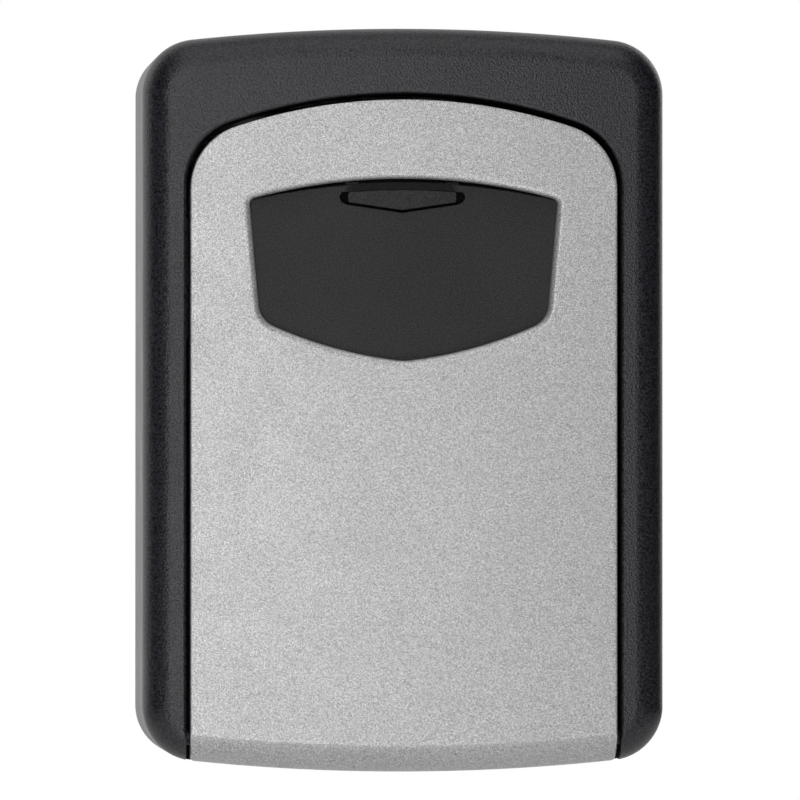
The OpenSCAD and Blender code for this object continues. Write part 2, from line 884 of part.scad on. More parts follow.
module mechanism_cover() {
    color("#2a2a2c")
        difference() {
            union() {
                slab(flange_back, cover_back)
                    polygon(door_outline(cover_inset, bulkhead_low));
                both_sides()
                    for (z = post_z)
                        deep_bar(cover_front, cover_back, post_x, z, post_base_r);
            }
            slab(flange_back - past, cover_front)
                polygon(door_outline(cover_inset + rim_t, bulkhead_low + rim_t));
            block([fork_x - stop_gap, cover_front - past, dial_z - neck_half - stop_gap],
                [fork_x + fork_t + change_travel + stop_gap, cover_back + past,
                    dial_z + neck_half + stop_gap]);
            both_sides()
                for (z = post_z) {
                    deep_bar(flange_back - past, cover_front, post_x, z, post_r + stop_gap);
                    deep_bar(cover_front - past, cover_back + past, post_x, z, screw_r + stop_gap);
                }
        }
}

module cover_screws() {
    color("#aeb1b4")
        both_sides()
            for (z = post_z) {
                deep_bar(cover_front - screw_long + past, cover_back, post_x, z, screw_r);
                deep_bar(cover_back, cover_back + screw_head_t, post_x, z, screw_head_r);
            }
}

housing();
hinge_pin_left();
hinge_pin_right();
door_face();
shutter();
dial_carrier();
dial_1();
dial_2();
dial_3();
dial_4();
hub_1();
hub_2();
hub_3();
hub_4();
spindle();
spindle_clip();
change_lever();
slide_frame();
open_button();
latch_plate();
latch_spring_left();
latch_spring_right();
slide_spring_left();
slide_spring_right();
detent_spring();
mechanism_cover();
cover_screws();
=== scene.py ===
# %% [markdown]
# # A combination key safe
# A dark cast case hangs on a wall. A silver door drops open at its bottom edge, a dark shutter slides
# over four number dials, and the lock is inside the door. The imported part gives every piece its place.
# Here each piece gets its real edges and finish, and rides on the body that moves it.

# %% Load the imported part
import json
import math

import bmesh
import bpy
import numpy as np
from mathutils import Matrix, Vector

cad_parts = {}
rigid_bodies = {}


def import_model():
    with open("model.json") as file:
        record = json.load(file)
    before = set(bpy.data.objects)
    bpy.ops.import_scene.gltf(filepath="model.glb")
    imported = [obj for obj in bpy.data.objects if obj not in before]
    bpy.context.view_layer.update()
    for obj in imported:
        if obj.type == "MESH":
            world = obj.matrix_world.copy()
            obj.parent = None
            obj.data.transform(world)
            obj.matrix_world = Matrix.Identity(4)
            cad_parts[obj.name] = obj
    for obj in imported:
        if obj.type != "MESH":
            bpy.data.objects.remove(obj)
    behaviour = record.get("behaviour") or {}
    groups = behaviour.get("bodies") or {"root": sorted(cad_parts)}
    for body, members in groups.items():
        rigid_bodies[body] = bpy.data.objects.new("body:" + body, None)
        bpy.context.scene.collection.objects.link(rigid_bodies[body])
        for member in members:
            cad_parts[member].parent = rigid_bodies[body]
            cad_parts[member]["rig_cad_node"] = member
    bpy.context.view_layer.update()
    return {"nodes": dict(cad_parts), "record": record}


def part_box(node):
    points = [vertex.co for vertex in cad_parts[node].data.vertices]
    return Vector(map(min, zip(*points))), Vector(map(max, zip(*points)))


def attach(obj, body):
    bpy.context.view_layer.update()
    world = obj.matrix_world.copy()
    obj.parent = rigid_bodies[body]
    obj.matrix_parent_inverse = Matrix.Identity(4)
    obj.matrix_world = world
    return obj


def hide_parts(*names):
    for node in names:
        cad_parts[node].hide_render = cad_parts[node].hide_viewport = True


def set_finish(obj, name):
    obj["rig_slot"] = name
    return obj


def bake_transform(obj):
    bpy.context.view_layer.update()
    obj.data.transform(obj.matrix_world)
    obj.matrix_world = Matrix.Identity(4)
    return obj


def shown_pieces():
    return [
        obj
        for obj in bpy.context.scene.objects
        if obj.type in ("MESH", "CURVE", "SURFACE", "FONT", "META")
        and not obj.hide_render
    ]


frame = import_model()
nodes = frame["nodes"]
MM = 0.001


def box_mm(node):
    """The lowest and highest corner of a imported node, in millimetres."""
    low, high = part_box(node)
    return np.array(low) / MM, np.array(high) / MM


# %% [markdown]
# ## From number grids to meshes
# Most castings can be drawn as a stack of closed loops: the first loop runs round a hole or an edge, and
# each next loop is a little further over the surface. Two neighbouring loops make a band of four-sided
# faces. Whole bands come from one array of point numbers, so no single point is handled by itself.

# %% Faces between loops


def stack_faces(count, size, ring=False, caps=False):
    """The faces between each loop and the next: point k of loop i joins k + 1 and the same two of loop i + 1.
    A ring also joins the last loop to the first. Caps close the first and last loop with one face each."""
    rows = np.arange(count if ring else count - 1)[:, None]
    turn = np.arange(size)[None, :]
    after = (turn + 1) % size
    below = (rows + 1) % count
    quads = np.stack([rows * size + turn, rows * size + after, below * size + after, below * size + turn], -1)
    faces = quads.reshape(-1, 4).tolist()
    if caps:
        faces.append(np.arange(size)[::-1].tolist())
        faces.append((np.arange(size) + (count - 1) * size).tolist())
    return faces


def stacked(loops, ring=False, caps=True):
    """A shell from an array of loops, (loop, point, xyz), as a list of points and faces."""
    loops = np.asarray(loops, float)
    return loops.reshape(-1, 3), stack_faces(len(loops), loops.shape[1], ring, caps and not ring)


def joined(shells):
    """Several shells as one list of points and one of faces, with the point numbers moved on."""
    points, faces, start = [], [], 0
    for p, f in shells:
        points.append(p)
        faces.extend([[k + start for k in face] for face in f])
        start += len(p)
    return np.concatenate(points), faces


print("a ring of 3 loops of 8 points has", len(stack_faces(3, 8, ring=True)), "faces")

# %% [markdown]
# ## Outlines
# Seen from the front, the case and the door are made of arcs that run into each other. An arc is a circle
# read between two angles, and a loop is the outline at one depth.

# %% Plain shapes as loops


def arc(centre, r, start, stop, n):
    """n points of a circle, from one angle in degrees up to, but not including, another."""
    a = np.radians(np.linspace(start, stop, n, endpoint=False))
    return np.stack([centre[0] + r * np.cos(a), centre[1] + r * np.sin(a)], -1)


def at_depth(outline, y):
    """A front-view outline (x, z) as a loop at depth y."""
    return np.insert(outline, 1, y, axis=1)


def rectangle(low, high):
    """The four corners of a rectangle."""
    return np.array([[low[0], low[1]], [high[0], low[1]], [high[0], high[1]], [low[0], high[1]]], float)


def block(low, high):
    """A box between two corners, as two loops one above the other."""
    base = rectangle(low, high)
    return stacked([np.insert(base, 2, z, axis=1) for z in (low[2], high[2])])


def turned(profile, centre, axis, n=48):
    """A round solid: each (along, radius) pair of the profile is a circle about an axis through a centre."""
    a = np.linspace(0, 2 * np.pi, n, endpoint=False)
    side, up = np.delete(np.arange(3), axis)
    loops = np.zeros((len(profile), n, 3))
    profile = np.asarray(profile, float)
    loops[..., axis] = profile[:, :1]
    loops[..., side] = centre[side] + profile[:, 1:] * np.cos(a)
    loops[..., up] = centre[up] + profile[:, 1:] * np.sin(a)
    return stacked(loops)


print("a quarter of a circle in 3 steps", arc((0, 0), 1, 0, 90, 3).round(2).tolist())

# %% [markdown]
# ## The case
# The real case is one zinc casting with a fine powder coat. Its top and bottom edges are arched, its
# sides lean in a little so that it leaves the mould, and its front edge is well rounded. A box with a bevel
# would miss the arches, so the body is a stack of outlines, and the door's opening, the hinge slot and the
# screw holes are then cut out of it. The opening's cutter flares at the front, which rounds the rim.

# %% Sizes of the case
case_low, case_high = box_mm("housing")
_, door_high = box_mm("door_face")
pin_low, pin_high = box_mm("hinge_pin_right")
case_half = case_high[0]
case_top = case_high[2]
front = case_low[1]
depth = -front
corner_r = 9
back_corner_r = 8.2
case_arch_r = 325
edge_r = 4.8
side_lean = 0.5
door_gap = 1.0
side_gap = 0.65
door_half = door_high[0]
door_top = door_high[2]
door_arch_r = 86
door_corner_r = 9.5
door_round_r = 10.6
curl_r = 5.7
curl_gap = 0.5
flange_back = door_high[1]
hinge_y, hinge_z = (pin_low[1:] + pin_high[1:]) / 2
wall_back = 2.5
floor_t = 4.5
cavity_floor = floor_t - case_top
opening_half = door_half + door_gap
opening_top = door_top + door_gap
tray_rise = 3
case_arch_z = case_top - case_arch_r
door_arch_z = door_top - door_arch_r
print("case half width", round(case_half, 2), "door half width", round(door_half, 2))
print("hinge at depth", round(hinge_y, 2), "and height", round(hinge_z, 2))

# %% The case's outline


def corner_on(arch_r, arch_z, half, r):
    """The centre of a corner circle that touches the side and the arch from inside, and the angle at which it
    meets the arch: the centre is r in from the side and arch_r - r from the arch's centre."""
    x = half - r
    z = arch_z + math.sqrt((arch_r - r) ** 2 - x ** 2)
    return x, z, math.degrees(math.atan2(z - arch_z, x))


def case_outline(deep, inset, corner_n=20, arch_n=48):
    """The case at a depth from its front, drawn in by an inset: corner, top arch, corner, corner, bottom
    arch, corner. Towards the wall, the sides lean out and the corners get tighter."""
    corner = corner_r + (back_corner_r - corner_r) * deep / depth
    lean = side_lean * (1 - deep / depth)
    x, z, a = corner_on(case_arch_r, case_arch_z, case_half, corner)
    r, big = corner - inset, case_arch_r - inset
    outline = np.concatenate([
        arc((x, z), r, 0, a, corner_n),
        arc((0, case_arch_z), big, a, 180 - a, arch_n),
        arc((-x, z), r, 180 - a, 180, corner_n),
        arc((-x, -z), r, 180, 180 + a, corner_n),
        arc((0, -case_arch_z), big, 180 + a, 360 - a, arch_n),
        arc((x, -z), r, 360 - a, 360, corner_n)])
    return outline * [1 - lean / case_half, 1]


print("points in the case's outline", len(case_outline(0, edge_r)))

# %% The opening's outline


def door_top_outline(inset, corner, corner_n, arch_n):
    """The arched top that the door and its opening share, from the right side over to the left."""
    x, z, a = corner_on(door_arch_r, door_arch_z, door_half, corner)
    r = corner - inset
    return np.concatenate([
        arc((x, z), r, 0, a, corner_n),
        arc((0, door_arch_z), door_arch_r - inset, a, 180 - a, arch_n),
        arc((-x, z), r, 180 - a, 180, corner_n)])


def opening_outline(inset, low):
    """The door's opening: the arched top, and straight sides down to a level."""
    foot = np.array([[inset - door_half, low], [door_half - inset, low]])
    _, z, _ = corner_on(door_arch_r, door_arch_z, door_half, door_corner_r)
    shoulder = np.array([[inset - door_half, z]])
    narrower = (door_half + side_gap) / opening_half
    top = door_top_outline(inset, door_corner_r, corner_n=16, arch_n=40)
    return np.concatenate([top, shoulder, foot]) * [narrower, 1]


print("points in the opening's outline", len(opening_outline(0, 0)))

# %% The case as a stack of outlines
back_r = 0.4


def quarter(n):
    """n angles over a quarter turn, in radians."""
    return np.linspace(0, np.pi / 2, n)


def new_piece(name, shells, sharp=30):
    """A mesh object from shells in millimetres, with doubles merged, faces turned outwards and smooth shading
    that stops at edges sharper than the angle."""
    points, faces = joined(shells)
    mesh = bpy.data.meshes.new(name)
    mesh.from_pydata((points * MM).tolist(), [], faces)
    shape = bmesh.new()
    shape.from_mesh(mesh)
    bmesh.ops.remove_doubles(shape, verts=shape.verts, dist=0.0005 * MM)
    bmesh.ops.recalc_face_normals(shape, faces=shape.faces)
    shape.to_mesh(mesh)
    shape.free()
    piece = bpy.data.objects.new(name, mesh)
    bpy.context.scene.collection.objects.link(piece)
    smooth(piece, sharp)
    return piece


def smooth(piece, sharp):
    """Smooth shading, broken at edges whose faces meet at more than the angle."""
    piece.data.shade_smooth()
    piece.data.set_sharp_from_angle(angle=math.radians(sharp))


def told(piece):
    """Prints a piece's size in millimetres and its number of faces."""
    size = [round(c / MM, 2) for c in piece.dimensions]
    print(piece.name, "size in mm", size, "faces", len(piece.data.polygons))


fillet = [(edge_r * (1 - math.cos(t)), edge_r * (1 - math.sin(t))) for t in quarter(15)]
levels = fillet + [(depth - back_r, 0), (depth, back_r)]
case_loops = [at_depth(case_outline(deep, inset), front + deep) for deep, inset in levels]
case = new_piece("housing_shell", [stacked(case_loops)])
told(case)

# %% Cutters for the opening, the inside and the hinge slot
rim_r = 0.6
hair = 0.003
past = 1
rim = [(front - past, rim_r)]
rim += [(front + rim_r * (1 - math.cos(t)), rim_r * (1 - math.sin(t))) for t in quarter(9)[1:]]
rim.append((hinge_y, 0))
opening_foot = -case_top - 2 * past
front_cut = stacked([at_depth(opening_outline(-door_gap - off, opening_foot), y) for y, off in rim])
cavity_line = opening_outline(hair - door_gap, cavity_floor)
cavity_cut = stacked([at_depth(cavity_line, y) for y in (hinge_y - past, -wall_back)])
slot_half = door_half + side_gap - hair
slot_r = curl_r + curl_gap
curl_cut = turned([(-slot_half, slot_r), (slot_half, slot_r)], (0, hinge_y, hinge_z), axis=0, n=96)

tray_deep = flange_back - hinge_y
tray_a = math.atan2(tray_rise, tray_deep) + math.asin(curl_r / math.hypot(tray_deep, tray_rise))
along = np.array([math.cos(tray_a), math.sin(tray_a)])
down = np.array([math.sin(tray_a), -math.cos(tray_a)]) * slot_r
tray_side = np.array([hinge_y, hinge_z]) + [[0, 0], down, down + along * tray_deep, along * tray_deep]
tray_cut = stacked([np.insert(tray_side, 0, x, axis=1) for x in (-slot_half, slot_half)])
print("hinge slot radius", slot_r, "slope of the way to the inside", round(math.degrees(tray_a), 1))

# %% Cutters for the latch's strike, the wall screws and the cored side rails
strike_half = 18
strike_y = (-27.0, -17.8)
strike_z = (35, opening_top + 4.2)
strike_cut = block((-strike_half, strike_y[0], strike_z[0]), (strike_half, strike_y[1], strike_z[1]))
hole_r, hole_x, hole_z = 2.5, 22, 38
hole_line = [(-wall_back - past, hole_r), (past, hole_r)]
hole_cuts = [turned(hole_line, (x, 0, z), axis=1) for x in (-hole_x, hole_x) for z in (-hole_z, hole_z)]
core_x = (37.6, 40)
core_deep = 26
core_half = 12
core_z = (-33, -6, 21)
core_cuts = [block((low, -core_deep, z - core_half), (high, past, z + core_half))
             for low, high in ((-core_x[1], -core_x[0]), core_x) for z in core_z]
print("cutters for the screw holes", len(hole_cuts), "and for the cores", len(core_cuts))

# %% Cut the case
cast_sharp = 28


def cut_away(piece, shells):
    """Cuts closed shells out of a piece, one after another, and keeps the result as its mesh."""
    for k, shell in enumerate(shells):
        cutter = new_piece(f"cutter_{k}", [shell])
        cut = piece.modifiers.new("Cut", "BOOLEAN")
        cut.operation = "DIFFERENCE"
        cut.solver = "EXACT"
        cut.object = cutter
        bpy.context.view_layer.update()
        made = bpy.data.meshes.new_from_object(piece.evaluated_get(bpy.context.evaluated_depsgraph_get()))
        piece.modifiers.remove(cut)
        piece.data = made
        bpy.data.objects.remove(cutter)


def even_normals(piece):
    """Large flat faces keep their own direction next to small rounded ones."""
    even = piece.modifiers.new("Even normals", "WEIGHTED_NORMAL")
    even.keep_sharp = True
    even.weight = 100


cut_away(case, [front_cut, cavity_cut, curl_cut, tray_cut, strike_cut] + hole_cuts + core_cuts)
smooth(case, cast_sharp)
even_normals(case)
told(case)

# %% Door stops inside the case
stop_x, stop_y, stop_z = (33.6, 36), (-22.6, -18.6), (10, 30)


def rounded_edges(piece, width, segments=2, angle=40):
    """A Bevel that rounds every edge sharper than the angle."""
    bevel = piece.modifiers.new("Rounded edges", "BEVEL")
    bevel.width = width * MM
    bevel.segments = segments
    bevel.limit_method = "ANGLE"
    bevel.angle_limit = math.radians(angle)
    bevel.use_clamp_overlap = False
    even_normals(piece)


stops = new_piece("door_stops", [
    block((low, stop_y[0], stop_z[0]), (high, stop_y[1], stop_z[1]))
    for low, high in (stop_x, (-stop_x[1], -stop_x[0]))])
rounded_edges(stops, 0.3)
told(stops)

# %% [markdown]
# ## The door
# The door is a second casting, with a metallic silver coat. A plate with a hole is a ring: a section runs
# from the window's back edge, round the soft lip of the window, over the face, round the outer edge, back
# along the flange, and home along the inside. Carried once round, the section closes on itself, so the
# whole door is one grid whose rows and columns both wrap. At the bottom the same section curls under.

# %% Arcs with fillets between them


def circle_left_of(p, q, r):
    """The centre of the circle of radius r through p and q that lies to the left of the way from p to q."""
    p, q = np.asarray(p, float), np.asarray(q, float)
    d = q - p
    left = np.array([-d[1], d[0]]) / np.hypot(*d)
    return (p + q) / 2 + left * math.sqrt(r * r - d @ d / 4)


def meeting(c1, r1, c2, r2, near):
    """The point nearest to a given one where two circles meet."""
    d = c2 - c1
    dist = np.hypot(*d)
    a = (r1 * r1 - r2 * r2 + dist * dist) / (2 * dist)
    h = math.sqrt(max(r1 * r1 - a * a, 0))
    base = c1 + d / dist * a
    side = np.array([-d[1], d[0]]) / dist * h
    return min((base + side, base - side), key=lambda p: np.hypot(*(p - near)))


def blended(circles, corners, radii, steps):
    """An outline that follows each circle in turn, with a fillet at each corner between one circle and the
    next. A fillet's centre lies its own radius inside both circles."""
    n = len(circles)
    balls = [meeting(circles[i][0], circles[i][1] - radii[i], circles[(i + 1) % n][0],
                     circles[(i + 1) % n][1] - radii[i], np.asarray(corners[i], float)) for i in range(n)]

    def angle(centre, point):
        return math.degrees(math.atan2(point[1] - centre[1], point[0] - centre[0]))

    runs = []
    for i, (centre, r) in enumerate(circles):
        start, stop = angle(centre, balls[i - 1]), angle(centre, balls[i])
        stop += 360 * math.ceil((start - stop) / 360)
        runs.append(arc(centre, r, start, stop, steps))
        after = angle(circles[(i + 1) % n][0], balls[i])
        after += 360 * math.ceil((stop - after) / 360 - 1e-9)
        runs.append(arc(balls[i], radii[i], stop, after, steps))
    return np.concatenate(runs)


crossing = meeting(np.zeros(2), 1, np.array([1, 0]), 1, near=np.array([0, 1]))
print("two circles of radius 1, with centres 1 apart, meet at", crossing.round(3))

# %% The window's outline
face_t = 2.2
window_top = 35.68
window_tip = 6.27
window_half = 24.9
window_low = (23.2, 12.9)
window_arch_r = 93
window_flank_r = 70
window_fillets = [1.1, 1.1, 4, 8, 4]
window_steps = 60
far = 1e5
window_side_z = window_top - window_arch_r + math.sqrt(window_arch_r ** 2 - window_half ** 2)
shoulder_right, shoulder_left = (window_half, window_side_z), (-window_half, window_side_z)
low_right, low_left, tip = window_low, (-window_low[0], window_low[1]), (0, window_tip)
window_line = blended(
    [(circle_left_of(low_right, shoulder_right, far), far),
     (np.array([0, window_top - window_arch_r]), window_arch_r),
     (circle_left_of(shoulder_left, low_left, far), far),
     (circle_left_of(low_left, tip, window_flank_r), window_flank_r),
     (circle_left_of(tip, low_right, window_flank_r), window_flank_r)],
    [shoulder_right, shoulder_left, low_left, tip, low_right], window_fillets, window_steps)
print("window from", window_line.min(0).round(2), "to", window_line.max(0).round(2))

# %% The door's outline
face_back = front + face_t
door_edge_r = 0.2
crease = 4.44
foot_corner_r = 0.8
hold = 0.25
corner_n, arch_n, foot_n, long_n = 48, 150, 12, 120


def door_outline(inset, rise):
    """The door at one depth, from the right shoulder over the top and round the bottom, which is the case's
    bottom arch drawn up by a rise. The foot's corners are round at the edge and sharp at the crease."""
    top = door_top_outline(inset, door_round_r, corner_n, arch_n)
    _, shoulder, _ = corner_on(door_arch_r, door_arch_z, door_half, door_round_r)
    r = case_arch_r - rise
    corner = max(foot_corner_r * (1 - rise / crease), hold)
    x, z, a = corner_on(r, case_arch_z, door_half - inset, corner)
    bottom = np.concatenate([
        arc((-x, -z), corner, 180, 180 + a, foot_n),
        arc((0, -case_arch_z), r, 180 + a, 360 - a, long_n),
        arc((x, -z), corner, 360 - a, 360, foot_n)])
    foot = -z
    t = np.linspace(0, 1, long_n, endpoint=False)[:, None]
    side = shoulder + (foot - shoulder) * t
    left = np.concatenate([np.full_like(t, inset - door_half), side], 1)
    right = np.concatenate([np.full_like(t, door_half - inset), foot + (shoulder - foot) * t], 1)
    return np.concatenate([top, left, bottom, right])


print("points in the door's outline", len(door_outline(0, 0)))

# %% The window seen along the same rays
window_middle = np.array([0, 21.5])


def seen_from(centre, outline, targets):
    """Where rays from the centre through the targets cross a closed outline, and the outline's outward normal
    there. The crossed segment is found by angle, and the crossing is that of two lines."""
    ray = targets - centre
    turn = np.arctan2(ray[:, 1], ray[:, 0])
    corner = outline - centre
    angles = np.arctan2(corner[:, 1], corner[:, 0])
    order = np.argsort(angles)
    sorted_line, sorted_angles = outline[order], angles[order]
    after = np.searchsorted(sorted_angles, turn) % len(order)
    p, q = sorted_line[after - 1], sorted_line[after]
    d = q - p
    cross = ray[:, 0] * d[:, 1] - ray[:, 1] * d[:, 0]
    t = ((p - centre)[:, 0] * d[:, 1] - (p - centre)[:, 1] * d[:, 0]) / cross
    tangent = np.roll(sorted_line, -1, 0) - np.roll(sorted_line, 1, 0)
    out = np.stack([tangent[:, 1], -tangent[:, 0]], -1)
    out /= np.linalg.norm(out, axis=1, keepdims=True)
    crossing = centre + ray * t[:, None]
    share = np.linalg.norm(crossing - p, axis=1) / np.linalg.norm(d, axis=1)
    share = np.clip(share, 0, 1)[:, None]
    normal = out[after - 1] * (1 - share) + out[after] * share
    return crossing, normal / np.linalg.norm(normal, axis=1, keepdims=True)


window_ring, window_normal = seen_from(window_middle, window_line, door_outline(door_edge_r, crease))
print("the window's edge is seen along", len(window_ring), "rays")

# %% The curl at the door's foot
flange_t = 2.0
inner_r = curl_r - flange_t
tray_lip = 6.8
curl_from = 30
bend_y, bend_rise = front + 0.63, 2.07


def on_curl(r, a):
    """Depth, and rise above the door's lowest edge, of a point of the curl at an angle in degrees, where 90
    faces the front and 0 faces down."""
    return hinge_y - r * math.sin(math.radians(a)), curl_r - r * math.cos(math.radians(a))


def side_inset(y):
    """How far the rounded front edge draws the sides in at a depth."""
    left = min(max(door_edge_r - (y - front), 0), door_edge_r)
    return door_edge_r - math.sqrt(door_edge_r ** 2 - left ** 2)


def tangent_angle(r, far_y, far_rise):
    """The angle on the curl where a straight line to a far point leaves it."""
    y, z = far_y - hinge_y, far_rise - curl_r
    return -(90 - math.degrees(math.atan2(z, y) + math.asin(r / math.hypot(y, z))))


def bent(t, start, bend, end):
    """A curve from a start to an end, drawn towards a bend: the three mixed by the shares (1 - t) squared,
    2 t (1 - t) and t squared."""
    return (1 - t) ** 2 * start + 2 * t * (1 - t) * bend + t ** 2 * end


outer_end = tangent_angle(curl_r, flange_back, curl_r + tray_rise)
inner_end = tangent_angle(inner_r, flange_back + past, curl_r + tray_lip)
print("the curl ends outside at", round(outer_end, 1), "and inside at", round(inner_end, 1), "degrees")

# %% The section's loops: round the window's lip
lip_r = 0.9
window_loops = [at_depth(window_ring, face_back), at_depth(window_ring, front + lip_r + hold)]
for t in quarter(9):
    lip_line = window_ring + window_normal * lip_r * (1 - math.cos(t))
    window_loops.append(at_depth(lip_line, front + lip_r * (1 - math.sin(t))))
window_loops.append(at_depth(window_ring + window_normal * (lip_r + hold), front))
print("loops round the window", len(window_loops))

# %% The section's loops: over the edge, round the curl and home along the inside
outer = [(front, door_edge_r + hold, crease + hold)]
curl_y, curl_rise = on_curl(curl_r, curl_from)
bend_steps = np.concatenate([np.linspace(0, 0.16, 8), np.linspace(0.24, 1, 8, endpoint=False)])
for t in bend_steps:
    y = bent(t, front, bend_y, curl_y)
    outer.append((y, side_inset(y), bent(t, crease, bend_rise, curl_rise)))
for a in np.linspace(curl_from, outer_end, 9):
    y, rise = on_curl(curl_r, a)
    outer.append((y, side_inset(y), rise))
outer.append((flange_back - hold, 0, curl_r + tray_rise - hold))
outer.append((flange_back, hold, curl_r + tray_rise + hold))

y_end, rise_end = on_curl(inner_r, inner_end)
slope = (curl_r + tray_lip - rise_end) / (flange_back + past - y_end)
inner_rise = rise_end + (flange_back - y_end) * slope
outer.append((flange_back, flange_t - hold, inner_rise + hold))
outer.append((flange_back - hold, flange_t, inner_rise - hold * slope))
start = math.degrees(math.asin((curl_r - face_t) / inner_r))
for a in np.linspace(inner_end, start, 18):
    y, rise = on_curl(inner_r, a)
    outer.append((y, flange_t, rise))
door_loops = [at_depth(door_outline(inset, rise), y) for y, inset, rise in outer]
print("loops round the door", len(door_loops))

# %% Make the door, and cut the slots for the latch's bolts
door = new_piece("door", [stacked(window_loops + door_loops, ring=True)])
bolt_x, bolt_half, bolt_y, bolt_z = 12, 4.2, (-26.8, -24.9), (44, 50)
bolt_cuts = [block((x - bolt_half, bolt_y[0], bolt_z[0]), (x + bolt_half, bolt_y[1], bolt_z[1]))
             for x in (-bolt_x, bolt_x)]
cut_away(door, bolt_cuts)
smooth(door, cast_sharp)
even_normals(door)
told(door)

# %% [markdown]
# ### Ribs behind the door's face
# Behind the face stand the two rails that the shutter slides in, the wall below the lock, four screw posts
# and two bosses for the hinge pins. They are cast with the door, and are plain bars with softened edges.

# %% Make the ribs
shutter_low, shutter_high = box_mm("shutter")
carrier_low, _ = box_mm("dial_carrier")
play = 0.2
rail_in = shutter_high[0] + play
rail_out = rail_in + 1.4
rail_lip = 1.2
lip_front = shutter_high[1] + play
lip_back = lip_front + 1
rail_low, rail_high = -21.8, window_top
root = 0.4
wall_half = door_half - 1.2
wall_back_y = flange_back - 0.1
wall_t = 1.6
post_x, post_low_z, post_high_z = 29.8, 4.5, 33.0
post_r, post_tip_r = 2.4, 1.7
cover_front = -19.0
boss_r, boss_from, boss_to = 3.4, door_half - 5.8, door_half - 1
rib_shells = [block((-wall_half, lip_front, 0), (wall_half, wall_back_y, wall_t))]
for side in (-1, 1):
    for x, y in ((rail_in, face_back - root), (rail_in - rail_lip, lip_front)):
        ends = sorted((side * x, side * rail_out))
        rib_shells.append(block((ends[0], y, rail_low), (ends[1], lip_back, rail_high)))
    for z in (post_low_z, post_high_z):
        post = [(face_back - root, post_r), (carrier_low[1], post_r),
                (carrier_low[1], post_tip_r), (cover_front, post_tip_r)]
        rib_shells.append(turned(post, (side * post_x, 0, z), axis=1))
    ends = sorted((side * boss_from, side * boss_to))
    rib_shells.append(turned([(ends[0], boss_r), (ends[1], boss_r)], (0, hinge_y, hinge_z), axis=0))
ribs = new_piece("door_ribs", rib_shells)
rounded_edges(ribs, 0.2)
told(ribs)

# %% [markdown]
# ## The shutter
# The shutter is a moulded dark plate. A finger pad near its top edge stands in a groove, which is wide at
# both ends and a hairline along the pad's lower edges. Above the pad the plate steps back a little, and four
# small blocks stand on its top edge. Cutting such a thin groove would leave ragged faces, so the front is a
# height field: each point of a fine grid is sunk by a smooth step of its distance to an outline.

# %% Distance to an outline


def polygon_distance(x, z, corners):
    """Signed distance of points to a polygon, negative inside: the least distance to its edges, and the sign
    from how often a level ray crosses them."""
    p = np.stack([x, z], -1)
    a = np.asarray(corners, float)
    b = np.roll(a, -1, 0)
    d = b - a
    rel = p[..., None, :] - a
    t = np.clip((rel * d).sum(-1) / (d * d).sum(-1), 0, 1)
    dist = np.linalg.norm(rel - t[..., None] * d, axis=-1).min(-1)
    above = (a[:, 1] > p[..., None, 1]) != (b[:, 1] > p[..., None, 1])
    reach = a[:, 0] + d[:, 0] * (p[..., None, 1] - a[:, 1]) / np.where(d[:, 1] == 0, 1e-9, d[:, 1])
    inside = (above & (p[..., None, 0] < reach)).sum(-1) % 2 == 1
    return np.where(inside, -dist, dist)


def soft_step(distance, width):
    """1 inside, 0 outside, and a smooth ramp over the width between."""
    t = np.clip(0.5 - distance / width, 0, 1)
    return t * t * (3 - 2 * t)


square = rectangle((-1, -1), (1, 1))
print("the middle of a square of 2 has the distance", polygon_distance(0, 0, square))

# %% The pad, the groove round it and the step above it
pad_top = 33.53
pad_line = [(8.4, 33.2), (4.2, 33.45), (0, pad_top), (-4.2, 33.45), (-8.4, 33.2), (-8.4, 32.2), (0, 30.98),
            (8.4, 32.2)]
pad_x, pad_round, pad_soft, pad_sunk = -0.18, 0.4, 0.16, 0.1
groove_line = [(8.8, 33.45), (-8.8, 33.45), (-9.4, 33.1), (-9.62, 32.7), (-9.4, 32.3), (-8.8, 32.0),
               (0, 30.7), (8.8, 32.0), (9.4, 32.3), (9.62, 32.7), (9.4, 33.1)]
groove_round, groove_soft, groove_deep = 0.45, 0.14, 1.25
step_line = [(9.0, 32.8), (8.0, 36.5), (-8.0, 36.5), (-9.0, 32.8)]
step_soft, step_deep = 1.6, 0.3


def off_groove(x, z):
    """Distance of points to the groove's rounded outline, negative inside."""
    return polygon_distance(x - pad_x, z, groove_line) - groove_round


def groove_and_pad(x, z):
    """How much a point lies in the groove's outline, in the pad's and in the step above it, from 0 to 1."""
    groove = soft_step(off_groove(x, z), groove_soft)
    pad = soft_step(polygon_distance(x - pad_x, z, pad_line) - pad_round, pad_soft)
    step = soft_step(polygon_distance(x, z, step_line), step_soft)
    return groove, pad, step


def shutter_depth(x, z):
    """How far the front lies behind its plane: the groove's depth in its outline, less in the step above the
    pad, and next to nothing on the pad itself."""
    groove, pad, step = groove_and_pad(x, z)
    ledge = step * step_deep
    sunk = np.where(z > pad_top, ledge, np.maximum(groove * groove_deep, ledge))
    return sunk * (1 - pad) + pad_sunk * pad


print("depth beside the pad and on it", shutter_depth(np.array([9.5, 0]), np.array([32.7, 32.5])).round(2))

# %% A fine grid over the shutter's front
shutter_front, shutter_back = shutter_low[1], shutter_high[1]
shutter_half, shutter_foot = shutter_high[0], shutter_low[2]
top_lift = 0.35
shutter_crown = shutter_high[2] + top_lift
shutter_arch_r = 110
edge_soft = 0.25
fine_half, fine_n = 10.6, 265
sides_from, sides_n = 11.2, 18
coarse_to, coarse_n, top_n = 0.84, 20, 76


def shutter_top(x):
    """Height of the arched top edge above a place across the width."""
    return shutter_crown - shutter_arch_r + np.sqrt(shutter_arch_r ** 2 - x ** 2)


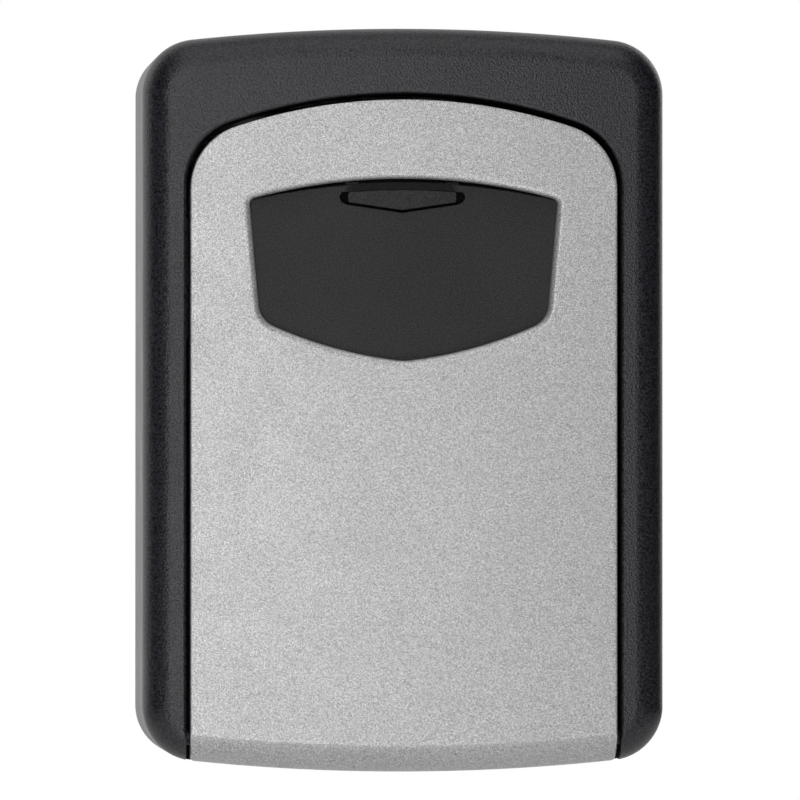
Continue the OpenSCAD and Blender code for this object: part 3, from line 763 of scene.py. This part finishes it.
fine = np.linspace(-fine_half, fine_half, fine_n)
sides = np.linspace(sides_from, shutter_half, sides_n)
across = np.concatenate([-sides[::-1], fine, sides])
share = np.concatenate([
    np.linspace(0, coarse_to, coarse_n, endpoint=False), np.linspace(coarse_to, 1, top_n)])
x_grid, v_grid = np.meshgrid(across, share)
top_grid = shutter_top(x_grid)
z_grid = shutter_foot + (top_grid - shutter_foot) * v_grid
near_edge = np.minimum.reduce([shutter_half - np.abs(x_grid), z_grid - shutter_foot, top_grid - z_grid])
near_edge = np.clip(near_edge / edge_soft, 0, 1)
edge_drop = edge_soft * (1 - np.sqrt(1 - (1 - near_edge) ** 2))
y_front = shutter_front + np.maximum(shutter_depth(x_grid, z_grid), edge_drop)
y_back = np.full_like(y_front, shutter_back)
rows, columns = x_grid.shape
print("grid of", rows, "rows and", columns, "columns, deepest point", np.ptp(y_front).round(2))

# %% Make the shutter from its two faces and the wall between them


def sheet_faces(rows, columns, start, flip):
    """Faces of a grid of points, numbered row by row from a start."""
    k = start + np.arange(rows * columns).reshape(rows, columns)
    quads = np.stack([k[:-1, :-1], k[:-1, 1:], k[1:, 1:], k[1:, :-1]], -1).reshape(-1, 4)
    return (quads[:, ::-1] if flip else quads).tolist()


def border(rows, columns):
    """The numbers of a grid's outer points, once round."""
    k = np.arange(rows * columns).reshape(rows, columns)
    return np.concatenate([k[0, :-1], k[:-1, -1], k[-1, :0:-1], k[:0:-1, 0]])


front_points = np.stack([x_grid, y_front, z_grid], -1).reshape(-1, 3)
back_points = np.stack([x_grid, y_back, z_grid], -1).reshape(-1, 3)
ring = border(rows, columns)
wall = np.stack([ring, np.roll(ring, -1), np.roll(ring, -1) + rows * columns, ring + rows * columns], -1)
shutter_faces = sheet_faces(rows, columns, 0, False) + sheet_faces(rows, columns, rows * columns, True)
shutter_points = np.concatenate([front_points, back_points])
shutter = new_piece("shutter_plate", [(shutter_points, shutter_faces + wall.tolist())])
smooth(shutter, 45)
told(shutter)

# %% Mark painted shade on the mesh: the groove, the step above the pad and a band below the pad are darkened and dulled
# Painted shade: the groove is painted near black as shade, the step above the pad is darkened as the shadow of
# the window's top edge, and a band under the pad's lower edge gets a soft painted shadow.
step_painted_shade = 0.72
below_painted_shadow, below_reach, below_half, below_top = 0.35, 1.1, 8.5, 32
back_film = 0.01
spots = np.zeros(len(shutter.data.vertices) * 3)
shutter.data.vertices.foreach_get("co", spots)
x, y, z = spots.reshape(-1, 3).T / MM
groove, pad, step = groove_and_pad(x, z)
# A soft painted shadow under the pad's lower edge, fading over a reach.
below = below_painted_shadow * np.clip(1 - off_groove(x, z) / below_reach, 0, 1) ** 2
below *= (z < below_top) & (np.abs(x) < below_half)
# The painted-shade mark: full in the groove, part on the step, soft below the pad, none on the pad.
painted_shade = np.maximum.reduce([groove * (z <= pad_top), step * step_painted_shade, below]) * (1 - pad)
painted_shade *= y < shutter_back - back_film
shutter.data.attributes.new("painted_shade", "FLOAT", "POINT").data.foreach_set("value", painted_shade.astype(np.float32))
print("points marked as groove or step", int((painted_shade > 0.5).sum()), "of", len(painted_shade))

# %% Four small blocks on the shutter's top edge
nib_places = ((-9.4, -7.2, 0.02), (-6.9, -6.2, -0.02), (5.9, 6.6, -0.02), (6.8, 9.0, 0.02))
nib_y = (shutter_front + 0.5, shutter_front + 1.2)
nib_tall = 0.9
nibs = new_piece("shutter_nibs", [
    block((low, nib_y[0], shutter_crown + rise - nib_tall), (high, nib_y[1], shutter_crown + rise))
    for low, high, rise in nib_places])
rounded_edges(nibs, 0.12)
told(nibs)

# %% [markdown]
# ## Numbers on the dials
# Each dial carries the digits 0 to 9, filled with white paint. A flat digit would cut into the round dial, so
# its outline is wrapped: the way across stays, and the way up becomes an angle round the axle.

# %% Flat digits


def flat_digit(text):
    """A digit's flat outline as points and faces, one unit high and centred."""
    words = bpy.data.curves.new("digit", "FONT")
    words.body = text
    words.align_x = "CENTER"
    words.resolution_u = 3
    holder = bpy.data.objects.new("digit", words)
    bpy.context.scene.collection.objects.link(holder)
    bpy.context.view_layer.update()
    flat = bpy.data.meshes.new_from_object(holder.evaluated_get(bpy.context.evaluated_depsgraph_get()))
    points = np.zeros(len(flat.vertices) * 3)
    flat.vertices.foreach_get("co", points)
    points = points.reshape(-1, 3)
    faces = [list(p.vertices) for p in flat.polygons]
    bpy.data.objects.remove(holder)
    bpy.data.curves.remove(words)
    bpy.data.meshes.remove(flat)
    middle = (points.min(0) + points.max(0)) / 2
    return (points - middle) / np.ptp(points[:, 1]), faces


digits = [flat_digit(str(k)) for k in range(10)]
print("points in the ten digits", [len(points) for points, _ in digits])

# %% Wrapped digits
dial_low, dial_high = box_mm("dial_1")
dial_y, dial_z = (dial_low[1:] + dial_high[1:]) / 2
dial_r = (dial_high[2] - dial_low[2]) / 2
digit_high = 3.0
paint_t = 0.03


def wrapped(flat, x, turn):
    """A flat digit laid on a dial: x stays, and its height becomes an angle from the front, upwards."""
    a = turn + flat[:, 1] * digit_high / dial_r
    r = dial_r + paint_t
    return np.stack([x + flat[:, 0] * digit_high, dial_y - r * np.cos(a), dial_z + r * np.sin(a)], -1)


for k in range(4):
    low, high = box_mm(f"dial_{k + 1}")
    middle = (low[0] + high[0]) / 2
    shells = [(wrapped(points, middle, 2 * np.pi * i / len(digits)), faces)
              for i, (points, faces) in enumerate(digits)]
    points, faces = joined(shells)
    mesh = bpy.data.meshes.new(f"digits_{k + 1}")
    mesh.from_pydata((points * MM).tolist(), [], faces)
    piece = bpy.data.objects.new(f"digits_{k + 1}", mesh)
    bpy.context.scene.collection.objects.link(piece)
    paint = piece.modifiers.new("Paint thickness", "SOLIDIFY")
    paint.thickness = 2 * paint_t * MM
    paint.offset = -1
    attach(piece, f"dial_{k + 1}")
    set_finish(piece, "white_plastic")
print("digits on 4 dials, each", digit_high, "mm high on a radius of", round(dial_r, 2))

# %% [markdown]
# ## Springs
# The return springs are wound wire. A spring is a small circle carried along a helix: the path climbs evenly
# with its angle, apart from flat closed turns at both ends, and the circle stands square to the path.

# %% Wound springs
wire_r = 0.225
turns = 7
closed_turns = 0.8


def spring_shell(node, sides=8, steps=24):
    """A wire along a helix in the space of a packed sleeve. With t from 0 to 1, the angle is 2 pi turns t,
    and the height is level over the closed turns at both ends and climbs evenly between them."""
    low, high = box_mm(node)
    centre = (low + high) / 2
    r = (high[0] - low[0]) / 2 - wire_r
    t = np.linspace(0, 1, turns * steps + 1)
    a = 2 * np.pi * turns * t
    climb = np.clip((t * turns - closed_turns) / (turns - 2 * closed_turns), 0, 1)
    z = low[2] + wire_r + climb * (high[2] - low[2] - 2 * wire_r)
    path = np.stack([centre[0] + r * np.cos(a), centre[1] + r * np.sin(a), z], -1)
    along = np.gradient(path, axis=0)
    along /= np.linalg.norm(along, axis=1, keepdims=True)
    out = np.stack([np.cos(a), np.sin(a), np.zeros_like(a)], -1)
    up = np.cross(along, out)
    b = np.linspace(0, 2 * np.pi, sides, endpoint=False)
    ring = np.cos(b)[:, None] * out[:, None] + np.sin(b)[:, None] * up[:, None]
    return stacked(path[:, None] + wire_r * ring)


for node, mover in (("latch_spring_left", "latch"), ("latch_spring_right", "latch"),
                    ("slide_spring_left", "lock_slide"), ("slide_spring_right", "lock_slide")):
    spring = new_piece(node.replace("spring", "coil"), [spring_shell(node)])
    low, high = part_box(node)
    middle = (low + high) / 2
    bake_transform(spring)
    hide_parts(node)
    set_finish(spring, "spring_steel")
    told(spring)

# %% [markdown]
# ## Cover screws
# Four pan-head screws hold the cover. A head is a low dome with a cross sunk into it: on a polar grid, the
# height is the dome's, less a smooth step of the distance to the two arms of the cross.

# %% Screw heads and shanks
screw_low, screw_high = box_mm("cover_screws")
_, cover_high = box_mm("mechanism_cover")
head_r = 2.1
head_base = cover_high[1]
head_t = screw_high[1] - head_base
shank_r, tip_r, tip_long = 1.1, 0.6, 0.5
arm_half, arm_long, arm_deep, arm_soft = 0.3, 1.25, 0.8, 0.18
dome_power = 4
inwards = 0.97


def screw_shell(x, z, rings=26, spokes=72):
    """A screw along Y: rings run from the shank's end up the shank, under the head, over its edge and dome,
    and in to the middle, where the cross is sunk."""
    a = np.linspace(0, 2 * np.pi, spokes, endpoint=False)
    shank = [(screw_low[1], tip_r), (screw_low[1] + tip_long, shank_r),
             (head_base, shank_r), (head_base, head_r)]
    u = np.linspace(0, 1, rings)
    r_top = head_r * (1 - u * inwards)
    dome = head_t * np.sqrt(np.clip(1 - (r_top / head_r) ** dome_power, 0, 1))
    px, pz = r_top[:, None] * np.cos(a), r_top[:, None] * np.sin(a)
    reach = np.minimum(np.maximum(np.abs(px) - arm_half, np.abs(pz) - arm_long),
                       np.maximum(np.abs(pz) - arm_half, np.abs(px) - arm_long))
    y_top = head_base + dome[:, None] - arm_deep * soft_step(reach, arm_soft)
    loops = [np.stack([x + r * np.cos(a), np.full_like(a, y), z + r * np.sin(a)], -1) for y, r in shank]
    loops += list(np.stack([x + px, y_top, z + pz], -1))
    return stacked(loops)


screws = new_piece("cover_screw_heads", [
    screw_shell(side * post_x, z) for side in (-1, 1) for z in (post_low_z, post_high_z)])
told(screws)

# %% [markdown]
# ## Mouldings and pressings of the lock
# The carrier, the cover, the button and the lever are moulded, and the slide and the latch are pressed. Their
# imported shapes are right, but their edges are knife-sharp. A copy has its loose triangles merged and its flat
# faces joined, and then a small Bevel rounds the edges, so that they catch the light as real ones do.

# %% Round the edges of the lock's pieces
slots = {part["node"]: part["material_slot"] for part in frame["record"]["subparts"]}
carried_by = {node: body for body, group in frame["record"]["behaviour"]["bodies"].items() for node in group}


def softened(node, width):
    """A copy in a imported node's place, with merged triangles, joined flat faces and rounded edges."""
    mesh = nodes[node].data.copy()
    shape = bmesh.new()
    shape.from_mesh(mesh)
    bmesh.ops.remove_doubles(shape, verts=shape.verts, dist=0.001 * MM)
    bmesh.ops.dissolve_limit(shape, angle_limit=math.radians(1), verts=shape.verts, edges=shape.edges)
    shape.to_mesh(mesh)
    shape.free()
    piece = bpy.data.objects.new(f"{node}_soft", mesh)
    bpy.context.scene.collection.objects.link(piece)
    smooth(piece, 32)
    rounded_edges(piece, width, angle=50)
    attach(piece, carried_by[node])
    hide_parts(node)
    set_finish(piece, slots[node])
    told(piece)


edge_widths = {"dial_carrier": 0.2, "open_button": 0.25, "change_lever": 0.25, "mechanism_cover": 0.3,
               "slide_frame": 0.12, "latch_plate": 0.15, "dial_1": 0.12, "dial_2": 0.12, "dial_3": 0.12,
               "dial_4": 0.12}
for node, width in edge_widths.items():
    softened(node, width)

# %% Ride the new pieces on their bodies
rides = (
    (case, "case", "case_paint", ["housing"]),
    (stops, "case", "case_paint", []),
    (door, "door", "door_paint", ["door_face"]),
    (ribs, "door", "door_paint", []),
    (shutter, "shutter", "shutter_black", ["shutter"]),
    (nibs, "shutter", "shutter_black", []),
    (screws, "door", "plated_steel", ["cover_screws"]))
for piece, body, slot, replaced in rides:
    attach(piece, body)
    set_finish(piece, slot)
    if replaced:
        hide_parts(*replaced)
    print(piece.name, "rides on", body)

# %% [markdown]
# ## Finishes
# Every finish is a pattern in real size on the piece's own coordinates. Painted pictures would need unwrapped
# meshes and would blur up close, so one shared group makes the patterns: a fine grain, which also gives the
# height for the bump, flakes for the metallic coat, and a broad mottling. A finish mixes its own two tones.

# %% The shared grain group


def add_node(tree, kind, inputs=None, **settings):
    """A new shader node. Settings are its own properties, and each input is another node's output, which is
    linked, or a fixed value."""
    node = tree.nodes.new(f"ShaderNode{kind}")
    for name, value in settings.items():
        setattr(node, name, value)
    for name, value in (inputs or {}).items():
        if isinstance(value, bpy.types.NodeSocket):
            tree.links.new(value, node.inputs[name])
        else:
            node.inputs[name].default_value = value
    return node


grain = bpy.data.node_groups.new("Grain", "ShaderNodeTree")
for name, value in (("Fine scale", 3000.0), ("Broad scale", 120.0)):
    grain.interface.new_socket(name, in_out="INPUT", socket_type="NodeSocketFloat").default_value = value
stretch_socket = grain.interface.new_socket("Stretch", in_out="INPUT", socket_type="NodeSocketVector")
stretch_socket.default_value = (1, 1, 1)
for name in ("Fine", "Flake", "Broad"):
    grain.interface.new_socket(name, in_out="OUTPUT", socket_type="NodeSocketFloat")
inside = grain.nodes.new("NodeGroupInput")
outside = grain.nodes.new("NodeGroupOutput")
coords = add_node(grain, "TexCoord")
stretched = add_node(grain, "VectorMath", {0: coords.outputs["Object"], 1: inside.outputs["Stretch"]},
                     operation="MULTIPLY")
for name, detail in (("Fine", 2.0), ("Broad", 3.0)):
    noise = add_node(grain, "TexNoise", {
        "Vector": stretched.outputs[0], "Scale": inside.outputs[f"{name} scale"], "Detail": detail})
    grain.links.new(noise.outputs["Fac"], outside.inputs[name])
cells = add_node(grain, "TexVoronoi", {"Vector": stretched.outputs[0], "Scale": inside.outputs["Fine scale"]})
split = add_node(grain, "SeparateColor", {"Color": cells.outputs["Color"]})
grain.links.new(split.outputs["Red"], outside.inputs["Flake"])
print("grain group with", len(grain.nodes), "nodes")

# %% A finish made of two tones
mottled = (0.35, 0.65)
# Near-black tone that marked places are mixed towards, as painted shade.
painted_shade_tone = (4, 4, 4)


def linear(level):
    """A screen level from 0 to 255 as linear light."""
    c = level / 255
    return c / 12.92 if c <= 0.04045 else ((c + 0.055) / 1.055) ** 2.4


def tone(colour):
    """A screen colour as a linear colour with alpha."""
    return tuple(linear(c) for c in colour) + (1.0,)


def finish(name, dark, light, fine=3000, broad=120, mask="Fine", spread=(0.3, 0.7), rough=(0.45, 0.6),
           bump=0.1, bump_size=0.05, metallic=0.0, specular=0.5, stretch=(1, 1, 1), painted_shade=None):
    """A material that runs between two tones with the grain, and between two roughnesses with the mottling.
    Where the mesh carries the painted-shade mark, the colour is mixed towards near black as painted shade, and
    it is dull."""
    material = bpy.data.materials.new(name)
    material.use_nodes = True
    tree = material.node_tree
    shader = tree.nodes["Principled BSDF"]
    shader.inputs["Metallic"].default_value = metallic
    shader.inputs["Specular IOR Level"].default_value = specular
    group = add_node(tree, "Group", {"Fine scale": fine, "Broad scale": broad, "Stretch": stretch},
                     node_tree=grain)
    ramp = add_node(tree, "ValToRGB", {"Fac": group.outputs[mask]})
    for stop, share, level in zip(ramp.color_ramp.elements, spread, (dark, light)):
        stop.position = share
        stop.color = tone(level)
    gloss = add_node(tree, "MapRange", {
        "Value": group.outputs["Broad"], "From Min": mottled[0], "From Max": mottled[1],
        "To Min": rough[0], "To Max": rough[1]})
    colour, dullness = ramp.outputs["Color"], gloss.outputs["Result"]
    # Painted shade: marked places are mixed towards the near-black tone and made dull.
    if painted_shade:
        mark = add_node(tree, "Attribute", attribute_name=painted_shade)
        darker = add_node(tree, "Mix", {"Factor": mark.outputs["Fac"], "A": colour, "B": tone(painted_shade_tone)},
                          data_type="RGBA")
        duller = add_node(tree, "Math", {0: dullness, 1: mark.outputs["Fac"]}, operation="MAXIMUM")
        colour, dullness = darker.outputs["Result"], duller.outputs[0]
    relief = add_node(tree, "Bump", {
        "Strength": bump, "Distance": bump_size * MM, "Height": group.outputs["Fine"]})
    tree.links.new(colour, shader.inputs["Base Color"])
    tree.links.new(dullness, shader.inputs["Roughness"])
    tree.links.new(relief.outputs["Normal"], shader.inputs["Normal"])
    return material


print("the pit's tone in linear light", round(linear(painted_shade_tone[0]), 5))

# %% The finishes of this safe
materials = {
    "case_paint": finish("Case powder coat", (0, 0, 1), (53, 50, 60), fine=3000, broad=90,
                         spread=(0.42, 0.58), rough=(0.34, 0.38), bump=1.0, bump_size=0.09, specular=0.57),
    "door_paint": finish("Door metallic coat", (134, 133, 134), (255, 254, 255), fine=11000, broad=140,
                         mask="Flake", spread=(0.0, 1.0), rough=(0.38, 0.42), bump=0.12, bump_size=0.03,
                         metallic=0.4),
    # The shutter's finish darkens the marked groove, step and band under the pad as painted shade.
    "shutter_black": finish("Shutter plastic", (26, 24, 26), (60, 58, 60), fine=4200, broad=60,
                            spread=(0.38, 0.62), rough=(0.48, 0.54), bump=0.15, bump_size=0.03, specular=0.35,
                            painted_shade="painted_shade"),
    "black_plastic": finish("Lock plastic", (18, 18, 20), (33, 33, 35), fine=3300, broad=80,
                            rough=(0.6, 0.72), bump=0.15, specular=0.3),
    "dial_black": finish("Dial plastic", (24, 24, 26), (34, 34, 36), fine=3200, broad=150, rough=(0.35, 0.5),
                         bump=0.08),
    "hub_brass": finish("Hub brass", (176, 148, 84), (206, 178, 112), fine=900, broad=300, rough=(0.25, 0.4),
                        metallic=1.0, stretch=(12, 1, 1)),
    "steel": finish("Ground steel", (176, 178, 181), (206, 208, 211), fine=900, broad=300, rough=(0.22, 0.36),
                    bump=0.08, metallic=1.0, stretch=(14, 1, 1)),
    "plated_steel": finish("Plated steel", (168, 171, 176), (196, 199, 204), fine=1500, broad=260,
                           rough=(0.25, 0.4), bump=0.08, metallic=1.0),
    "spring_steel": finish("Spring wire", (184, 186, 189), (216, 218, 221), fine=1200, broad=500,
                           rough=(0.2, 0.35), bump=0.08, metallic=1.0),
    "white_plastic": finish("White plastic", (214, 212, 204), (230, 228, 221), fine=1400, broad=90,
                            rough=(0.4, 0.55)),
    "button_plastic": finish("Button plastic", (34, 34, 36), (46, 46, 48), fine=1600, broad=110,
                             rough=(0.4, 0.55), bump=0.2)}
pin_steel = finish("Blackened pin steel", (34, 34, 36), (56, 56, 59), fine=1500, broad=400, rough=(0.35, 0.5),
                   metallic=0.8, stretch=(10, 1, 1))
print("finishes", len(materials) + 1)

# %% Give every piece its finish
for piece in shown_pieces():
    slot = piece.get("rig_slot") or slots[piece["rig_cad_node"]]
    piece.data.materials.clear()
    piece.data.materials.append(pin_steel if piece.name.startswith("hinge_pin") else materials[slot])

# %% [markdown]
# ## Light, backdrop and camera
# The photograph is a catalogue picture: nearly straight on, a touch from the left and from below, on pure
# white. The camera is far away, so that the sides hardly show. A soft strip lamp stands near the safe, a
# touch to the left, a lamp stands far in front and a little low, and one hangs above. Two weak lamps, behind
# on the right and on the left, light the sides and the back. The white behind the safe belongs to the world:
# the camera sees it everywhere, and glossy sides mirror it from behind, but it adds hardly any light of its
# own. A bright sheet behind the safe would light it too. A pale floor lies well below, and is clear from
# underneath.

# %% The floor, and white that adds no light


def shown_white(tree, plain, white, share):
    """White for the camera, a share of it for mirrors and glass, and the plain shader for all other rays. The
    share is a number or another node's output."""
    ray = add_node(tree, "LightPath").outputs
    mirrored = add_node(tree, "Math", {0: ray["Is Glossy Ray"], 1: ray["Is Transmission Ray"]},
                        operation="MAXIMUM")
    dimmed = add_node(tree, "Math", {0: mirrored.outputs[0], 1: share}, operation="MULTIPLY")
    shown = add_node(tree, "Math", {0: dimmed.outputs[0], 1: ray["Is Camera Ray"]}, operation="MAXIMUM")
    return add_node(tree, "MixShader", {"Fac": shown.outputs[0], 1: plain.outputs[0], 2: white.outputs[0]})


floor_z, floor_half = -0.5, 2
floor_tone = (0.85, 0.85, 0.85, 1)
floor_mirrored = 0.7
floor_corners = rectangle((-floor_half, -floor_half), (floor_half, floor_half))
floor_mesh = bpy.data.meshes.new("floor")
floor_mesh.from_pydata(np.insert(floor_corners, 2, floor_z, axis=1).tolist(), [], [[0, 1, 2, 3]])
floor = bpy.data.objects.new("floor", floor_mesh)
bpy.context.scene.collection.objects.link(floor)
floor_paint = bpy.data.materials.new("Pale floor")
floor_paint.use_nodes = True
tree = floor_paint.node_tree
plain = tree.nodes["Principled BSDF"]
plain.inputs["Base Color"].default_value = floor_tone
plain.inputs["Roughness"].default_value = 0.9
plain.inputs["Specular IOR Level"].default_value = 0.0
from_above = shown_white(tree, plain, add_node(tree, "Emission"), floor_mirrored)
below = add_node(tree, "NewGeometry")
clear = add_node(tree, "BsdfTransparent")
either = add_node(tree, "MixShader", {
    "Fac": below.outputs["Backfacing"], 1: from_above.outputs[0], 2: clear.outputs[0]})
tree.links.new(either.outputs[0], tree.nodes["Material Output"].inputs["Surface"])
floor_mesh.materials.append(floor_paint)
print("floor", 2 * floor_half, "m across,", -floor_z, "m below the middle of the safe")

# %% The world
white_tone = (1, 1, 1, 1)
world_light = 0.02
behind_way = (-0.2, 0.85, 0.35)
behind_from, behind_to, behind_share = 0.4, 0.75, 0.88
world = bpy.data.worlds.new("Studio")
bpy.context.scene.world = world
world.use_nodes = True
sky = world.node_tree
dim = sky.nodes["Background"]
dim.inputs["Color"].default_value = white_tone
dim.inputs["Strength"].default_value = world_light
white = add_node(sky, "Background", {"Color": white_tone, "Strength": 1.0})
looking = add_node(sky, "TexCoord")
towards = add_node(sky, "VectorMath", {0: looking.outputs["Generated"], 1: behind_way},
                   operation="DOT_PRODUCT")
behind = add_node(sky, "MapRange", {
    "Value": towards.outputs["Value"], "From Min": behind_from, "From Max": behind_to,
    "To Max": behind_share}, interpolation_type="SMOOTHSTEP")
backdrop = shown_white(sky, dim, white, behind.outputs["Result"])
sky.links.new(backdrop.outputs[0], sky.nodes["World Output"].inputs["Surface"])
print("world with", len(sky.nodes), "nodes, light", world_light)

# %% Lamps


def direction(aim):
    """The rotation that turns a lamp or camera to look along a direction, with up kept up."""
    return Vector(aim).to_track_quat("-Z", "Y")


def soft_lamp(name, place, width, height, watts):
    """A rectangular area lamp that faces the middle of the safe."""
    data = bpy.data.lights.new(name, "AREA")
    data.shape = "RECTANGLE"
    data.size, data.size_y = width, height
    data.energy = watts
    lamp = bpy.data.objects.new(name, data)
    bpy.context.scene.collection.objects.link(lamp)
    lamp.location = place
    lamp.visible_camera = False
    lamp.rotation_euler = direction([-c for c in place]).to_euler()
    print(name, "at", place, "with", watts, "W")


soft_lamp("near lamp", (-0.048, -0.42, 0.01), 0.1, 0.6, 0.57)
soft_lamp("front lamp", (0.0, -1.4, -0.25), 0.6, 0.6, 0.85)
soft_lamp("top lamp", (0.0, -0.42, 0.83), 0.9, 0.9, 2.8)
soft_lamp("right back lamp", (0.6, 0.8, 0.3), 0.5, 0.7, 1.0)
soft_lamp("left back lamp", (-0.8, 0.3, 0.25), 0.5, 0.7, 0.7)

# %% Camera
picture_px, px_mm = 800, 0.1610
sensor_mm = 36
camera_left, camera_low = math.radians(2.7), math.radians(0.5)
camera_away = 1.6 + front * MM
camera_aim = np.array([-0.67, front, -0.02]) * MM
lens_data = bpy.data.cameras.new("camera")
lens_data.sensor_width = sensor_mm
lens_data.lens = sensor_mm * camera_away / (picture_px * px_mm * MM)
camera = bpy.data.objects.new("camera", lens_data)
bpy.context.scene.collection.objects.link(camera)
look = np.array([math.sin(camera_left), math.cos(camera_left), math.tan(camera_low)]) * math.cos(camera_low)
camera.location = camera_aim - look * camera_away
camera.rotation_euler = direction(look).to_euler()
bpy.context.scene.camera = camera
bpy.context.scene.view_settings.view_transform = "Standard"
print("lens", round(lens_data.lens, 1), "camera at", [round(c, 3) for c in camera.location])
